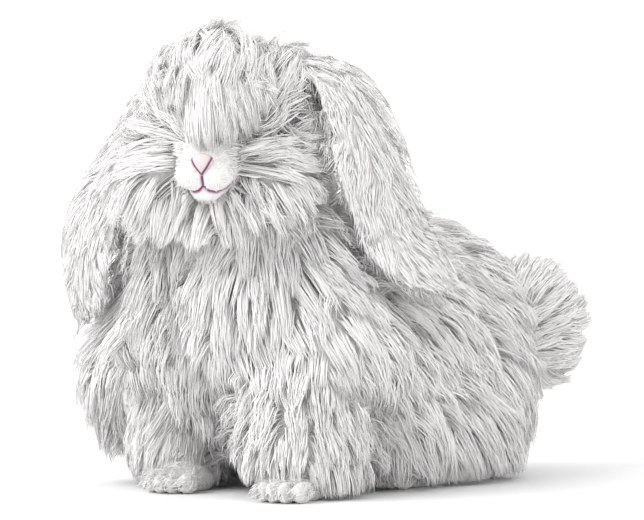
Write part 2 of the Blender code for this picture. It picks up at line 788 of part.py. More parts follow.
def finish(nodes, finishes):
    """Gives each node its material and shading, and sets the origin on the floor under the middle."""
    for node, finish_name in nodes:
        node.data.materials.clear()
        node.data.materials.append(finishes[finish_name])
        node.data.shade_smooth()
        node.data.set_sharp_from_angle(angle=math.radians(50))
    corners = [node.matrix_world @ v.co for node, _ in nodes for v in node.data.vertices]
    low = Vector(min(c[k] for c in corners) for k in range(3))
    high = Vector(max(c[k] for c in corners) for k in range(3))
    middle = Vector(((low.x + high.x) / 2, (low.y + high.y) / 2, low.z))
    for node, _ in nodes:
        node.data.transform(Matrix.Translation(-middle))


def main():
    clear_scene()
    finishes = make_finishes()
    head = head_frame()
    nodes = []
    taken = []

    rng = random.Random(SEED)
    whole = whole_coat(head, rng)
    for side, word in ((1, "left"), (-1, "right")):
        eye = eye_ball(head, side)
        eye.name = f"eye_{word}"
        nodes.append((eye, "eye"))
        taken.append(eye_ball(head, side, GAP))
    nose = nose_pad(head)
    holes = [nostril(head, side) for side in (1, -1)]
    combine(nose, "DIFFERENCE", holes)
    discard(holes)
    nodes.append((nose, "nose_skin"))
    taken.append(nose_pad(head, GAP))

    for side, word in ((1, "left"), (-1, "right")):
        for name, pieces in (("forepaw", paw_pieces), ("hindfoot", foot_pieces)):
            nodes.append((flat_on_floor(f"{name}_{word}", pieces(side)), "short_fur"))
            room = pieces(side, GAP * 2)
            combine(room[0], "UNION", room[1:])
            discard(room[1:])
            taken.append(room[0])

    head_node = part_out(whole, "head", rounded("room", HEAD_ROOM, 1, head), taken)
    nodes.append((head_node, "wool"))
    head_room = rounded("room", HEAD_ROOM, 1, head, grow=GAP)
    taken.append(head_room)

    for side in (1, -1):
        ear = ear_with_locks(side, head, rng)
        room = ear_room(side, head)
        combine(ear, "INTERSECT", [room])
        combine(ear, "DIFFERENCE", [head_room])
        keep_largest(ear)
        nodes.append((ear, "wool"))
        taken.append(ear_room(side, head, GAP * 1.5))

    for side, word in ((1, "left"), (-1, "right")):
        node = part_out(whole, f"foreleg_{word}", leg_mass(side, "tips", LEG_ROOM_GROWTH, LEG_ROOM_DROP), taken)
        nodes.append((node, "wool"))
        taken.append(leg_mass(side, "tips", LEG_ROOM_GROWTH + GAP * 1.2, LEG_ROOM_DROP))
    for side, word in ((1, "left"), (-1, "right")):
        node = part_out(whole, f"hindleg_{word}", rounded("room", HIND_ROOM, side), taken)
        nodes.append((node, "wool"))
        taken.append(rounded("room", HIND_ROOM, side, grow=GAP * 1.2))
    for name, room in (("tail", TAIL_ROOM), ("neck", NECK_ROOM)):
        node = part_out(whole, name, rounded("room", room), taken)
        nodes.append((node, "wool"))
        taken.append(rounded("room", room, grow=GAP * 1.2))

    combine(whole, "DIFFERENCE", taken)
    keep_largest(whole)
    whole.name = "torso"
    nodes.append((whole, "wool"))
    kept = {node for node, _ in nodes}
    discard([thing for thing in bpy.data.objects if thing not in kept])
    finish(nodes, finishes)


main()
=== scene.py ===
"""The looks of a life-size lop-eared angora rabbit: its skin, wool, short fur, eyes, nose and claws.

Metres, +Z up. The sizes are those of the solids, in the frame that they were drawn in. Everything is
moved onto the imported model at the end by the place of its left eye.
"""

import math
from collections import namedtuple

import bmesh
import bpy
import numpy as np
from mathutils import Matrix, Vector
from mathutils.bvhtree import BVHTree
from mathutils.kdtree import KDTree


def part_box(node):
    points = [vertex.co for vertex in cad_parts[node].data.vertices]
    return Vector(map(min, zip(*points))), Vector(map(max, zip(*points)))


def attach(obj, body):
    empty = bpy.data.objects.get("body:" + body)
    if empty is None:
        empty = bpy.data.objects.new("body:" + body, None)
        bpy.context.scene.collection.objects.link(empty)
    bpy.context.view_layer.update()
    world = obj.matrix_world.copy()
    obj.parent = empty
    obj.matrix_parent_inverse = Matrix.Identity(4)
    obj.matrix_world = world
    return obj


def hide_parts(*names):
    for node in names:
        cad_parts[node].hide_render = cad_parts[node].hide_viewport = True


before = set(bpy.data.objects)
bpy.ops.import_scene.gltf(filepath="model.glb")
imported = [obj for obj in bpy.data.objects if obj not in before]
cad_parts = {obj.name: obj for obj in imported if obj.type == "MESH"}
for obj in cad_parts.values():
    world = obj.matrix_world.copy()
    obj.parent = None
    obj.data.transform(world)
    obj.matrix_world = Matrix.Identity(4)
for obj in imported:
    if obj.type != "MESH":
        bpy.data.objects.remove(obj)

# ---- Sizes

HEAD_CENTRE = Vector((0.012, -0.088, 0.240))
HEAD_TURN = math.radians(30)
HEAD_NOD = math.radians(10)
SIDES = {"left": 1, "right": -1}
EYE_PLACE = Vector((0.0225, -0.004, 0.009))
EYE_RADIUS = 0.009
CORNEA_BULGE = 0.0006
PUPIL_EDGE = (0.915, 0.935)  # in cosines of the angle from the gaze
GAZE = (1.0, -0.35, 0.05)
LID_OPENING = (0.0079, 0.0062)
UPPER_LID_THICK = 0.0014
LOWER_LID_THICK = 0.0010
HEM_LOWEST = 0.0015  # the coat's hem ends from here up to HEM_HEIGHT higher
HEM_HEIGHT = 0.004
CROWN_HEIGHT = 0.312  # tips over the crown stand up less from here on
SKIN_LOWEST = 0.0003
COAT_LOWEST = 0.0012

# A mass is one rounded part of the body: its middle, and how far its flesh and the coat's tips reach.
Mass = namedtuple("Mass", "centre core tips")
BODY_MASSES = (
    Mass((0, -0.036, 0.116), (0.100, 0.068, 0.072), (0.124, 0.086, 0.090)),
    Mass((0, 0.046, 0.104), (0.094, 0.088, 0.078), (0.120, 0.100, 0.094)),
    Mass((0, 0.114, 0.098), (0.084, 0.070, 0.080), (0.108, 0.087, 0.097)),
    Mass((0.078, -0.040, 0.096), (0.040, 0.046, 0.048), (0.052, 0.058, 0.060)),
    Mass((-0.084, -0.042, 0.076), (0.046, 0.050, 0.056), (0.060, 0.062, 0.072)),
    Mass((0.056, 0.096, 0.062), (0.044, 0.074, 0.060), (0.057, 0.092, 0.072)),
    Mass((-0.056, 0.096, 0.062), (0.044, 0.074, 0.060), (0.057, 0.092, 0.072)),
    Mass((0, 0.108, 0.044), (0.082, 0.074, 0.038), (0.102, 0.092, 0.050)),
    Mass((0.060, 0.020, 0.052), (0.042, 0.062, 0.046), (0.056, 0.076, 0.058)),
    Mass((-0.060, 0.020, 0.052), (0.042, 0.062, 0.046), (0.056, 0.076, 0.058)),
    Mass((0.002, -0.059, 0.170), (0.082, 0.054, 0.052), (0.108, 0.071, 0.064)),
)
TAIL_MASS = Mass((0.034, 0.224, 0.104), (0.033, 0.032, 0.041), (0.046, 0.044, 0.056))
TAIL_ROOT = Mass((0.028, 0.200, 0.096), (0.028, 0.030, 0.030), (0.028, 0.030, 0.030))

# The head's masses under and out to its wool, in the head's own frame.
HEAD_MASSES = (
    Mass((0, -0.006, 0.040), (0.030, 0.030, 0.024), (0.044, 0.044, 0.040)),
    Mass((0.038, 0.012, 0.028), (0.020, 0.024, 0.026), (0.034, 0.036, 0.040)),
    Mass((-0.030, 0.012, 0.026), (0.017, 0.024, 0.024), (0.027, 0.036, 0.038)),
    Mass((0.042, 0.002, 0.000), (0.024, 0.026, 0.026), (0.041, 0.038, 0.042)),
    Mass((-0.034, 0.002, 0.000), (0.020, 0.026, 0.026), (0.033, 0.038, 0.042)),
    Mass((0.038, 0.000, -0.026), (0.026, 0.030, 0.029), (0.044, 0.046, 0.048)),
    Mass((-0.038, 0.000, -0.026), (0.026, 0.030, 0.029), (0.044, 0.046, 0.048)),
    Mass((0, -0.006, -0.042), (0.036, 0.028, 0.020), (0.056, 0.044, 0.036)),
    Mass((0, 0.026, 0.004), (0.046, 0.030, 0.045), (0.064, 0.042, 0.064)),
)
# The hollow in the wool at each eye, and how far it is turned towards the nose.
EYE_HOLLOW = Vector((0.055, -0.012, 0.010))
EYE_HOLLOW_REACH = (0.0265, 0.0135, 0.0115)
EYE_HOLLOW_TURN = math.radians(-14)
# The bare head from nose to nape: how far back, half width, top, bottom.
HEAD_STATIONS = (
    (-0.0600, 0.0085, -0.0040, -0.0200),
    (-0.0565, 0.0135, 0.0015, -0.0265),
    (-0.0500, 0.0175, 0.0055, -0.0310),
    (-0.0390, 0.0200, 0.0115, -0.0340),
    (-0.0230, 0.0230, 0.0195, -0.0360),
    (-0.0060, 0.0275, 0.0275, -0.0380),
    (0.0120, 0.0320, 0.0325, -0.0380),
    (0.0300, 0.0320, 0.0310, -0.0340),
    (0.0450, 0.0260, 0.0230, -0.0240),
    (0.0540, 0.0140, 0.0100, -0.0100),
)
# Small rounded parts: the middle, and how far the part reaches from it. Of a pair, the left one.
LIP_PAD = ((0.0085, -0.0540, -0.0145), (0.0110, 0.0110, 0.0095))
CHIN = ((0, -0.0480, -0.0270), (0.0100, 0.0100, 0.0070))
EAR_ROOT = ((0.030, 0.024, 0.028), (0.016, 0.018, 0.016))
NOSE_PLACE = Vector((0, -0.0602, -0.0062))
NOSE_REACH = (0.0082, 0.0050, 0.0076)

Leg = namedtuple("Leg", "top foot core_top core_foot tips_top tips_foot")
LEGS = {
    1: Leg((0.060, -0.052, 0.102), (0.063, -0.063, 0.034), 0.028, 0.036, 0.041, 0.051),
    -1: Leg((-0.062, -0.050, 0.100), (-0.048, -0.062, 0.034), 0.029, 0.026, 0.042, 0.036),
}
PAW_PLACES = {1: (0.078, -0.086, 0), -1: (-0.030, -0.078, 0)}
PAW_TURN = math.radians(12)
FOOT_PLACES = {1: (0.068, 0.074, 0), -1: (-0.068, 0.074, 0)}
PALM = ((0, 0.008, 0.0080), (0.0155, 0.0260, 0.0115))
PAW_TOE = ((0, -0.0165, 0.0070), (0.0050, 0.0112, 0.0080))
PAW_STEP = 0.0090
HEEL = ((0, 0.034, 0.009), (0.0140, 0.0300, 0.0110))
SOLE = ((0, -0.012, 0.008), (0.0130, 0.0430, 0.0095))
FOOT_TOE = ((0, -0.0460, 0.0070), (0.0042, 0.0125, 0.0072))
FOOT_STEP = 0.0072
MIDDLE_TOES_AHEAD = 0.0045
TOE_CLEFT_DEPTH, TOE_CLEFT_WIDTH = 0.0026, 0.0011
SKIN_GRID, SHELL_GRID = 0.0022, 0.005  # how fine the skin and the coat's shells are

EAR_LENGTH = 0.226
EAR_HALF_WIDTH = 0.038
EAR_FLESH_THICK = 0.0050
EAR_COAT = 0.010
EAR_LINES = {
    1: (
        (0.026, 0.026, 0.044),
        (0.054, 0.020, 0.050),
        (0.083, 0.008, 0.038),
        (0.101, 0.000, 0.002),
        (0.112, -0.002, -0.036),
        (0.126, -0.002, -0.070),
        (0.162, 0.004, -0.106),
    ),
    -1: (
        (-0.026, 0.026, 0.030),
        (-0.050, 0.026, 0.030),
        (-0.063, 0.022, 0.006),
        (-0.079, 0.018, -0.022),
        (-0.096, 0.018, -0.052),
        (-0.106, 0.022, -0.086),
        (-0.106, 0.028, -0.134),
    ),
}
EAR_ACROSS = Vector((0.69, 0.72, 0))
EAR_CUP = 0.30
EAR_FREE = 0.272  # over this height the head's coat may pass an ear

# Lines of the split lip, the mouth and a nostril, seen from in front: across and up.
LIP_CLEFT = ((0, -0.0125), (0, -0.0215))
MOUTH_LINE = (
    (0, -0.0215), (0.0035, -0.0248), (0.0085, -0.0264),
    (0.0130, -0.0252), (0.0172, -0.0218), (0.0205, -0.0180),
)
MOUTH_ENDS = (0.0175, 0.0200)  # from where across to where the mouth's line fades
LIP_CLEFT_DEPTH, LIP_CLEFT_WIDTH, LIP_LINE_WIDTH = 0.0016, 0.0010, 0.00085
NOSTRIL_LINE = ((0.0068, 0.0060), (0.0066, 0.0036), (0.0040, -0.0010), (0.0001, -0.0064))
NOSTRIL_DEPTH, NOSTRIL_WIDTH, NOSTRIL_LINE_WIDTH = 0.0014, 0.0006, 0.00070

# The lower edge of the forelock, across and up in the head's frame.
FORELOCK_EDGE = (
    (-0.036, 0.044), (-0.027, 0.034), (-0.021, 0.020), (-0.014, 0.010), (-0.009, 0.003),
    (0.004, 0.001), (0.022, 0.001), (0.033, 0.006), (0.042, 0.016), (0.048, 0.036),
)
# The lower edge of the head's wool in front, across in the head's frame and up from the head's middle.
MANE_EDGE = (
    (-0.084, -0.030), (-0.0745, -0.0585), (-0.052, -0.070), (-0.0137, -0.0735),
    (0.0317, -0.0720), (0.063, -0.0660), (0.078, -0.030),
)
# Folds between the bulges of the chest, across and up on the body's front. The coat to the left of a fold's
# way, from its first point to its last, is pressed in, and the coat to the right of it overlaps the fold.
FOLDS = (
    ((0.006, 0.098), (-0.0055, 0.141), (0.021, 0.170)),
    ((0.031, 0.016), (-0.001, 0.024), (-0.024, 0.042), (-0.040, 0.068)),
)

# How much of the coat's reach is pressed in beside a fold, a foreleg and an ear, and how wide the pressed
# strip is. On a fold's other side the coat swells.
FOLD_PRESSED, FOLD_WIDTH = 0.98, 0.016
FOLD_SWELL, FOLD_SWELL_WIDTH = 0.25, 0.012
LEG_PRESSED, LEG_STRIP_WIDTH = 0.95, 0.022
EAR_PRESSED = {1: 0.80, -1: 0.45}
EAR_STRIP_WIDTH = 0.009
HEAD_LEFT, MANE_LEFT = 0.15, 0.08  # what is left of the reach against the head and at the mane's edge
FORELOCK_CLEAR = 0.0045  # how far before the muzzle the forelock's tips hang

# The coat by region: how many tufts, how long and half as wide and thick they are, how far apart their
# locks grow, how far a lock's tufts gather at its tip, how far locks stand past the coat's reach, and
# the hairs' wave.
Coat = namedtuple("Coat", "count length half_width half_thick spacing gather proud wave")
COATS = {
    "head": Coat(16500, 0.034, 0.00044, 0.00024, 0.0085, 0.58, 0.0035, 0.0006),
    "forelock": Coat(5200, 0.050, 0.00042, 0.00024, 0.0065, 0.55, 0.0030, 0.0007),
    "neck": Coat(8400, 0.036, 0.00050, 0.00028, 0.0125, 0.34, 0.0020, 0.0007),
    "torso": Coat(18400, 0.037, 0.00052, 0.00028, 0.0130, 0.32, 0.0024, 0.0008),
    "foreleg_left": Coat(4800, 0.025, 0.00048, 0.00026, 0.0105, 0.34, 0.0024, 0.0007),
    "foreleg_right": Coat(3400, 0.025, 0.00048, 0.00026, 0.0105, 0.34, 0.0024, 0.0007),
    "hindleg_left": Coat(5600, 0.036, 0.00052, 0.00028, 0.0130, 0.32, 0.0026, 0.0008),
    "hindleg_right": Coat(5600, 0.036, 0.00052, 0.00028, 0.0130, 0.32, 0.0026, 0.0008),
    "tail": Coat(4400, 0.025, 0.00048, 0.00026, 0.0100, 0.38, 0.0030, 0.0008),
    "ear_left": Coat(5600, 0.019, 0.00044, 0.00022, 0.0075, 0.32, 0.0008, 0.0004),
    "ear_right": Coat(5600, 0.019, 0.00044, 0.00022, 0.0075, 0.32, 0.0008, 0.0004),
    "paws": Coat(6400, 0.0100, 0.00034, 0.00016, 0.0038, 0.35, 0.0005, 0.0002),
}
# How much the locks' ways stray, by region and elsewhere.
STRAYING = {"torso": 0.15, "neck": 0.15, "head": 0.26}
PLAIN_STRAYING = 0.20
# Below the height `free` a lock leaves its shell and hangs down, and below the height `edge` where the
# shell turns under by more than `under`.
Hang = namedtuple("Hang", "free edge under")
HANGS = {
    "head": Hang(0, 1, 0.05),
    "foreleg_left": Hang(0.036, 0.036, 0.40),
    "foreleg_right": Hang(0.036, 0.036, 0.40),
}
PLAIN_HANG = Hang(0.016, 0.030, 0.40)
LOCK_TRIALS = 6000  # places from which a region's locks are chosen
WHOLE_PIECE = 8500  # a region with more tufts than this is split in two pieces
# Where along a tuft its rings of corners lie, ending at its tip, and how wide they are.
Rings = namedtuple("Rings", "shares widths")
FINE_RINGS = Rings((0.0, 0.30, 0.58, 0.82, 1.0), (0.80, 1.00, 0.90, 0.60))
PLAIN_RINGS = Rings((0.0, 0.38, 0.75, 1.0), (0.80, 1.00, 0.72))
# The least share of a tuft that is left where it meets a foreleg's coat and a fold.
LEAST_IN_COAT = 0.34
LEAST_IN_FOLD = 0.14
SEED = 11

# Colours in sRGB
WOOL_WHITE = "F7F6F5"
# The root tone, greyer than the tips, is painted shade deep in the coat.
WOOL_ROOT_PAINTED_SHADE = "EFEDEB"
FUR_WHITE = "EDECEB"
FUR_SHADED = "E3E2E1"
# Painted shade: the wool in folds, beside the forelegs, under the mane's edge and by the ears is darkened down
# to this.
FOLD_SHADE = 0.58  # how light the wool in a fold is beside the wool in the open
LIP_PLUM = "8A4470"
NOSE_PALE = "D6CBCC"
EYE_BROWN = "2A1712"
PUPIL_BLACK = "050404"
LID_PINK_GREY = "A88F8E"
CLAW_HORN = "A59A90"
FLOOR_PALE = "F4F4F4"

# The drawing's camera and scale, and the studio's light
PICTURE_WIDTH = 644
PIXELS_PER_MM = 1.43
AIM = Vector((0, 0.051, 0.155))
AIM_PIXEL = 339  # where across the picture the aim lies
CAMERA_TURN = math.radians(40)
CAMERA_RISE = math.radians(1.8)
CAMERA_DISTANCE = 3.0
SENSOR_WIDTH = 36
STUDIO_LIGHT = 1.12
KEY_LIGHT = 1.5
KEY_SPREAD = math.radians(45)
KEY_WAY = Vector((0.40, 1.0, -0.95))


# ---- Materials

def linear(hex_colour):
    """An sRGB hex colour as linear RGBA."""
    channels = [int(hex_colour[k:k + 2], 16) / 255 for k in (0, 2, 4)]
    return (*[c / 12.92 if c <= 0.04045 else ((c + 0.055) / 1.055) ** 2.4 for c in channels], 1)


def add_node(tree, kind, settings=None, links=None):
    """Adds a node, sets its properties and sockets, and links its sockets to other nodes' outputs."""
    node = tree.nodes.new(kind)
    for key, value in (settings or {}).items():
        if isinstance(key, str) and hasattr(node, key):
            setattr(node, key, value)
        else:
            node.inputs[key].default_value = value
    for key, output in (links or {}).items():
        tree.links.new(output, node.inputs[key])
    return node


def new_material(name, settings):
    """A material with one Principled shader, and its tree and shader."""
    material = bpy.data.materials.new(name)
    material.use_nodes = True
    shader = material.node_tree.nodes["Principled BSDF"]
    for key, value in settings.items():
        shader.inputs[key].default_value = value
    return material, material.node_tree, shader


def angora_wool():
    """Angora wool: very fine, soft, matt white hair, a pale haze to the eye, with painted shade that greys it
    towards its root and darkens it in the folds.
    """
    material, tree, shader = new_material("angora_wool", {
        "Roughness": 0.85, "Specular IOR Level": 0.25, "Sheen Weight": 0.25, "Sheen Roughness": 0.6,
    })
    along, lock, painted_fold_lightness = (
        add_node(tree, "ShaderNodeAttribute", {"attribute_name": kind}) for kind in ("along", "lock", "open")
    )
    # Painted shade: the wool greys towards its root, where the coat lies deep.
    deep = add_node(
        tree, "ShaderNodeMapRange", {"From Min": 0.0, "From Max": 0.55}, {"Value": along.outputs["Fac"]}
    )
    tone = add_node(
        tree, "ShaderNodeMix", {"data_type": "RGBA", 6: linear(WOOL_ROOT_PAINTED_SHADE), 7: linear(WOOL_WHITE)},
        {0: deep.outputs["Result"]},
    )
    varied = add_node(
        tree, "ShaderNodeMapRange", {"To Min": 0.93, "To Max": 1.06}, {"Value": lock.outputs["Fac"]}
    )
    # Painted shade: the wool darkens by the open attribute where it lies in a fold or crease.
    folded = add_node(
        tree, "ShaderNodeMapRange", {"To Min": FOLD_SHADE, "To Max": 1.0}, {"Value": painted_fold_lightness.outputs["Fac"]}
    )
    value = add_node(
        tree, "ShaderNodeMath", {"operation": "MULTIPLY"},
        {0: varied.outputs["Result"], 1: folded.outputs["Result"]},
    )
    shade = add_node(
        tree, "ShaderNodeHueSaturation", {}, {"Color": tone.outputs[2], "Value": value.outputs[0]}
    )
    tree.links.new(shade.outputs["Color"], shader.inputs["Base Color"])
    return material


def short_fur():
    """Short white fur over the skin: dense, close-lying hairs about 0.3 mm apart, with plum lips."""
    material, tree, shader = new_material("short_fur", {
        "Roughness": 0.75, "Specular IOR Level": 0.3, "Sheen Weight": 0.2, "Sheen Roughness": 0.5,
    })
    place = add_node(tree, "ShaderNodeTexCoord")
    mottle = add_node(
        tree, "ShaderNodeTexNoise", {"Scale": 90.0, "Detail": 3.0}, {"Vector": place.outputs["Object"]}
    )
    fur = add_node(
        tree, "ShaderNodeMix", {"data_type": "RGBA", 6: linear(FUR_SHADED), 7: linear(FUR_WHITE)},
        {0: mottle.outputs["Fac"]},
    )
    lip = add_node(tree, "ShaderNodeAttribute", {"attribute_name": "lip"})
    with_lip = add_node(
        tree, "ShaderNodeMix", {"data_type": "RGBA", 7: linear(LIP_PLUM)},
        {0: lip.outputs["Fac"], 6: fur.outputs[2]},
    )
    hairs = add_node(
        tree, "ShaderNodeTexNoise", {"Scale": 1100.0, "Detail": 2.0}, {"Vector": place.outputs["Object"]}
    )
    bump = add_node(
        tree, "ShaderNodeBump", {"Strength": 0.25, "Distance": 0.0004}, {"Height": hairs.outputs["Fac"]}
    )
    tree.links.new(with_lip.outputs[2], shader.inputs["Base Color"])
    tree.links.new(bump.outputs["Normal"], shader.inputs["Normal"])
    return material


def nose_leather():
    """The nose's thin bare skin, finely pebbled at about 0.4 mm, pale with plum slits, and slightly moist."""
    material, tree, shader = new_material("nose_leather", {
        "Roughness": 0.42, "Specular IOR Level": 0.5, "Coat Weight": 0.15, "Coat Roughness": 0.25,
    })
    place = add_node(tree, "ShaderNodeTexCoord")
    pebbles = add_node(
        tree, "ShaderNodeTexVoronoi", {"Scale": 1400.0}, {"Vector": place.outputs["Object"]}
    )
    lip = add_node(tree, "ShaderNodeAttribute", {"attribute_name": "lip"})
    tone = add_node(
        tree, "ShaderNodeMix", {"data_type": "RGBA", 6: linear(NOSE_PALE), 7: linear(LIP_PLUM)},
        {0: lip.outputs["Fac"]},
    )
    bump = add_node(
        tree, "ShaderNodeBump", {"Strength": 0.2, "Distance": 0.0002}, {"Height": pebbles.outputs["Distance"]}
    )
    tree.links.new(tone.outputs[2], shader.inputs["Base Color"])
    tree.links.new(bump.outputs["Normal"], shader.inputs["Normal"])
    return material


def wet_eye():
    """The eye's clear cornea over a dark brown iris and black pupil: smooth, wet and glossy."""
    material, tree, shader = new_material("wet_eye", {
        "Roughness": 0.06, "IOR": 1.376, "Coat Weight": 1.0, "Coat Roughness": 0.02,
    })
    pupil = add_node(tree, "ShaderNodeAttribute", {"attribute_name": "pupil"})
    tone = add_node(
        tree, "ShaderNodeMix", {"data_type": "RGBA", 6: linear(EYE_BROWN), 7: linear(PUPIL_BLACK)},
        {0: pupil.outputs["Fac"]},
    )
    tree.links.new(tone.outputs[2], shader.inputs["Base Color"])
    return material


def plain_material(name, colour, roughness):
    """A material of one colour and one roughness."""
    return new_material(name, {"Base Color": linear(colour), "Roughness": roughness})[0]


def lid_skin():
    """The lids' rim: thin pink-grey bare skin, faintly creased."""
    material, tree, shader = new_material("lid_skin", {"Base Color": linear(LID_PINK_GREY), "Roughness": 0.5})
    place = add_node(tree, "ShaderNodeTexCoord")
    creases = add_node(tree, "ShaderNodeTexNoise", {"Scale": 800.0}, {"Vector": place.outputs["Object"]})
    bump = add_node(
        tree, "ShaderNodeBump", {"Strength": 0.3, "Distance": 0.0002}, {"Height": creases.outputs["Fac"]}
    )
    tree.links.new(bump.outputs["Normal"], shader.inputs["Normal"])
    return material


# ---- Frames and small geometry

def head_frame():
    """The head's own frame in the model's."""
    turned = Matrix.Rotation(HEAD_TURN, 4, "Z") @ Matrix.Rotation(HEAD_NOD, 4, "X")
    return Matrix.Translation(HEAD_CENTRE) @ turned


HEAD = head_frame()
HEAD_AXES = np.array(HEAD.to_3x3())


def to_head(points):
    """Points in the head's own frame."""
    return (points - np.array(HEAD_CENTRE)) @ HEAD_AXES


def turned_from_head(vectors):
    """Directions in the head's own frame, in the model's."""
    return vectors @ HEAD_AXES.T


def to_frame(points, placed):
    """Points in a placed part's own frame."""
    inverse = np.array(placed.inverted())
    return points @ inverse[:3, :3].T + inverse[:3, 3]


def on_side(place, side):
    """A place or a direction given for the left, on the side wanted."""
    return (side * place[0], *place[1:])


def mirrored(points):
    """Points of both sides as if they were all on the left."""
    return np.stack([np.abs(points[:, 0]), points[:, 1], points[:, 2]], axis=1)


def rows(*columns):
    """Columns side by side, each of many values or of one number for all."""
    return np.stack(np.broadcast_arrays(*columns), axis=1)


def unit(vectors):
    """Vectors made 1 long."""
    return vectors / np.maximum(np.linalg.norm(vectors, axis=-1, keepdims=True), 1e-9)


def smooth_step(low, high, values):
    """From 0 at low to 1 at high, with soft ends."""
    t = np.clip((values - low) / (high - low), 0, 1)
    return t * t * (3 - 2 * t)


def on_curve(start, bend, tip, share):
    """The place at a share of the way on a curve that leaves start towards bend and ends at tip."""
    return start * (1 - share) ** 2 + bend * (2 * share * (1 - share)) + tip * share ** 2


def in_ellipsoid(points, centre, reach):
    """Under 1 inside, over 1 outside."""
    return (((points - np.array(centre)) / np.array(reach)) ** 2).sum(axis=-1)


def add_object(name, data):
    """A new object of a mesh, a lamp or a camera, in the scene."""
    piece = bpy.data.objects.new(name, data)
    bpy.context.scene.collection.objects.link(piece)
    return piece


def mesh_object(name, body):
    """A new object of a bmesh body."""
    mesh = bpy.data.meshes.new(name)
    body.to_mesh(mesh)
    body.free()
    return add_object(name, mesh)


def finish_piece(piece, material):
    """Gives a piece its smooth shading and its material."""
    piece.data.shade_smooth()
    piece.data.materials.append(material)
    return piece


def vertex_rows(mesh, kind):
    """The points ("co") or the normals ("normal") of a mesh's vertices."""
    flat = np.empty(len(mesh.vertices) * 3, np.float32)
    mesh.vertices.foreach_get(kind, flat)
    return flat.reshape(-1, 3).astype(float)


def set_points(mesh, points):
    """Moves a mesh's vertices."""
    mesh.vertices.foreach_set("co", points.astype(np.float32).ravel())
    mesh.update()


def set_attribute(mesh, name, values):
    """Gives each vertex of a mesh a value that its material reads."""
    attribute = mesh.attributes.new(name, "FLOAT", "POINT")
    attribute.data.foreach_set("value", values.astype(np.float32))


def unit_sphere(segments=28, rings=18):
    """Corners and faces of a sphere of radius 1 round the origin."""
    points, faces = [(0, 0, 1)], []
    for i in range(1, rings):
        tilt = math.pi * i / rings
        for k in range(segments):
            turn = math.tau * k / segments
            points.append((math.sin(tilt) * math.cos(turn), math.sin(tilt) * math.sin(turn), math.cos(tilt)))
    points.append((0, 0, -1))
    last = len(points) - 1
    for k in range(segments):
        after = (k + 1) % segments
        faces.append((0, 1 + k, 1 + after))
        faces.append((last, last - segments + after, last - segments + k))
        for i in range(rings - 2):
            row = 1 + i * segments
            faces.append((row + k, row + segments + k, row + segments + after, row + after))
    return np.array(points), faces


SPHERE = unit_sphere()


def add_ellipsoid(body, centre, reach, placed=Matrix.Identity(4)):
    """Adds an ellipsoid's corners and faces to a list of shapes."""
    shape = np.array(placed @ Matrix.Translation(Vector(centre)) @ Matrix.Diagonal((*reach, 1)))
    points, faces = SPHERE
    body.append((points @ shape[:3, :3].T + shape[:3, 3], faces))


def add_rings(body, rings):
    """Adds a closed skin over rings of corners that follow one another to a list of shapes."""
    sides = len(rings[0])
    points = [tuple(corner) for ring in rings for corner in ring]
    faces = [tuple(range(sides))[::-1], tuple(range(len(points) - sides, len(points)))]
    for i in range(len(rings) - 1):
        for k in range(sides):
            here, after = i * sides + k, i * sides + (k + 1) % sides
            faces.append((here, after, after + sides, here + sides))
    body.append((np.array(points), faces))


def joined(name, body):
    """One mesh object of a list of shapes, with its faces turned outwards."""
    points = np.concatenate([shape for shape, _ in body])
    faces, first = [], 0
    for shape, own in body:
        faces += [tuple(first + corner for corner in face) for face in own]
        first += len(shape)
    mesh = bpy.data.meshes.new(name)
    mesh.from_pydata(points.tolist(), [], faces)
    turned = bmesh.new()
    turned.from_mesh(mesh)
    bmesh.ops.recalc_face_normals(turned, faces=turned.faces)
    turned.to_mesh(mesh)
    turned.free()
    return add_object(name, mesh)


def settle(piece):
    """Applies the modifiers."""
    graph = bpy.context.evaluated_depsgraph_get()
    mesh = bpy.data.meshes.new_from_object(piece.evaluated_get(graph))
    piece.modifiers.clear()
    piece.data = mesh


def melt(name, body, grid_size, rounds):
    """Joins overlapping closed shapes into one smooth skin."""
    piece = joined(name, body)
    grid = piece.modifiers.new("grid", "REMESH")
    grid.mode = "VOXEL"
    grid.voxel_size = grid_size
    smooth = piece.modifiers.new("smooth", "SMOOTH")
    smooth.factor = 0.5
    smooth.iterations = rounds
    settle(piece)
    return piece


# ---- Ears

def ear_points(side):
    """Points closely along an ear's middle line."""
    knots = [HEAD @ Vector(point) for point in EAR_LINES[side]]
    fine = []
    for i in range(len(knots) - 1):
        before = knots[max(i - 1, 0)]
        after = knots[min(i + 2, len(knots) - 1)]
        a, b = knots[i], knots[i + 1]
        for step in range(12):
            t = step / 12
            fine.append(
                0.5 * (
                    2 * a + (b - before) * t + (2 * before - 5 * a + 4 * b - after) * t * t
                    + (3 * a - before - 3 * b + after) * t ** 3
                )
            )
    fine.append(knots[-1])
    return fine


def ear_width(share):
    """Narrow and rolled at the root, widest past the middle, round at the tip."""
    rise = min(1.0, 0.42 + 1.25 * share)
    past = max(0.0, (share - 0.72) / 0.28)
    return EAR_HALF_WIDTH * rise * (0.15 + 0.85 * math.sqrt(max(0.0, 1 - past ** 2)))


Station = namedtuple("Station", "point ahead across out half_width share")


def ear_stations(side, count):
    """The ear's middle line as evenly spaced stations with its directions and width."""
    line = ear_points(side)
    wide = HEAD.to_3x3() @ Vector(on_side(EAR_ACROSS, side))
    steps = [(b - a).length for a, b in zip(line, line[1:])]
    reach = min(sum(steps), EAR_LENGTH)
    stations = []
    for i in range(count):
        share = i / (count - 1)
        wanted = share * reach
        k = 0
        while k < len(steps) - 1 and wanted > steps[k]:
            wanted -= steps[k]
            k += 1
        ahead = (line[k + 1] - line[k]).normalized()
        point = line[k] + ahead * wanted
        across = (wide - ahead * wide.dot(ahead)).normalized()
        stations.append(Station(point, ahead, across, ahead.cross(across) * side, ear_width(share), share))
    return stations


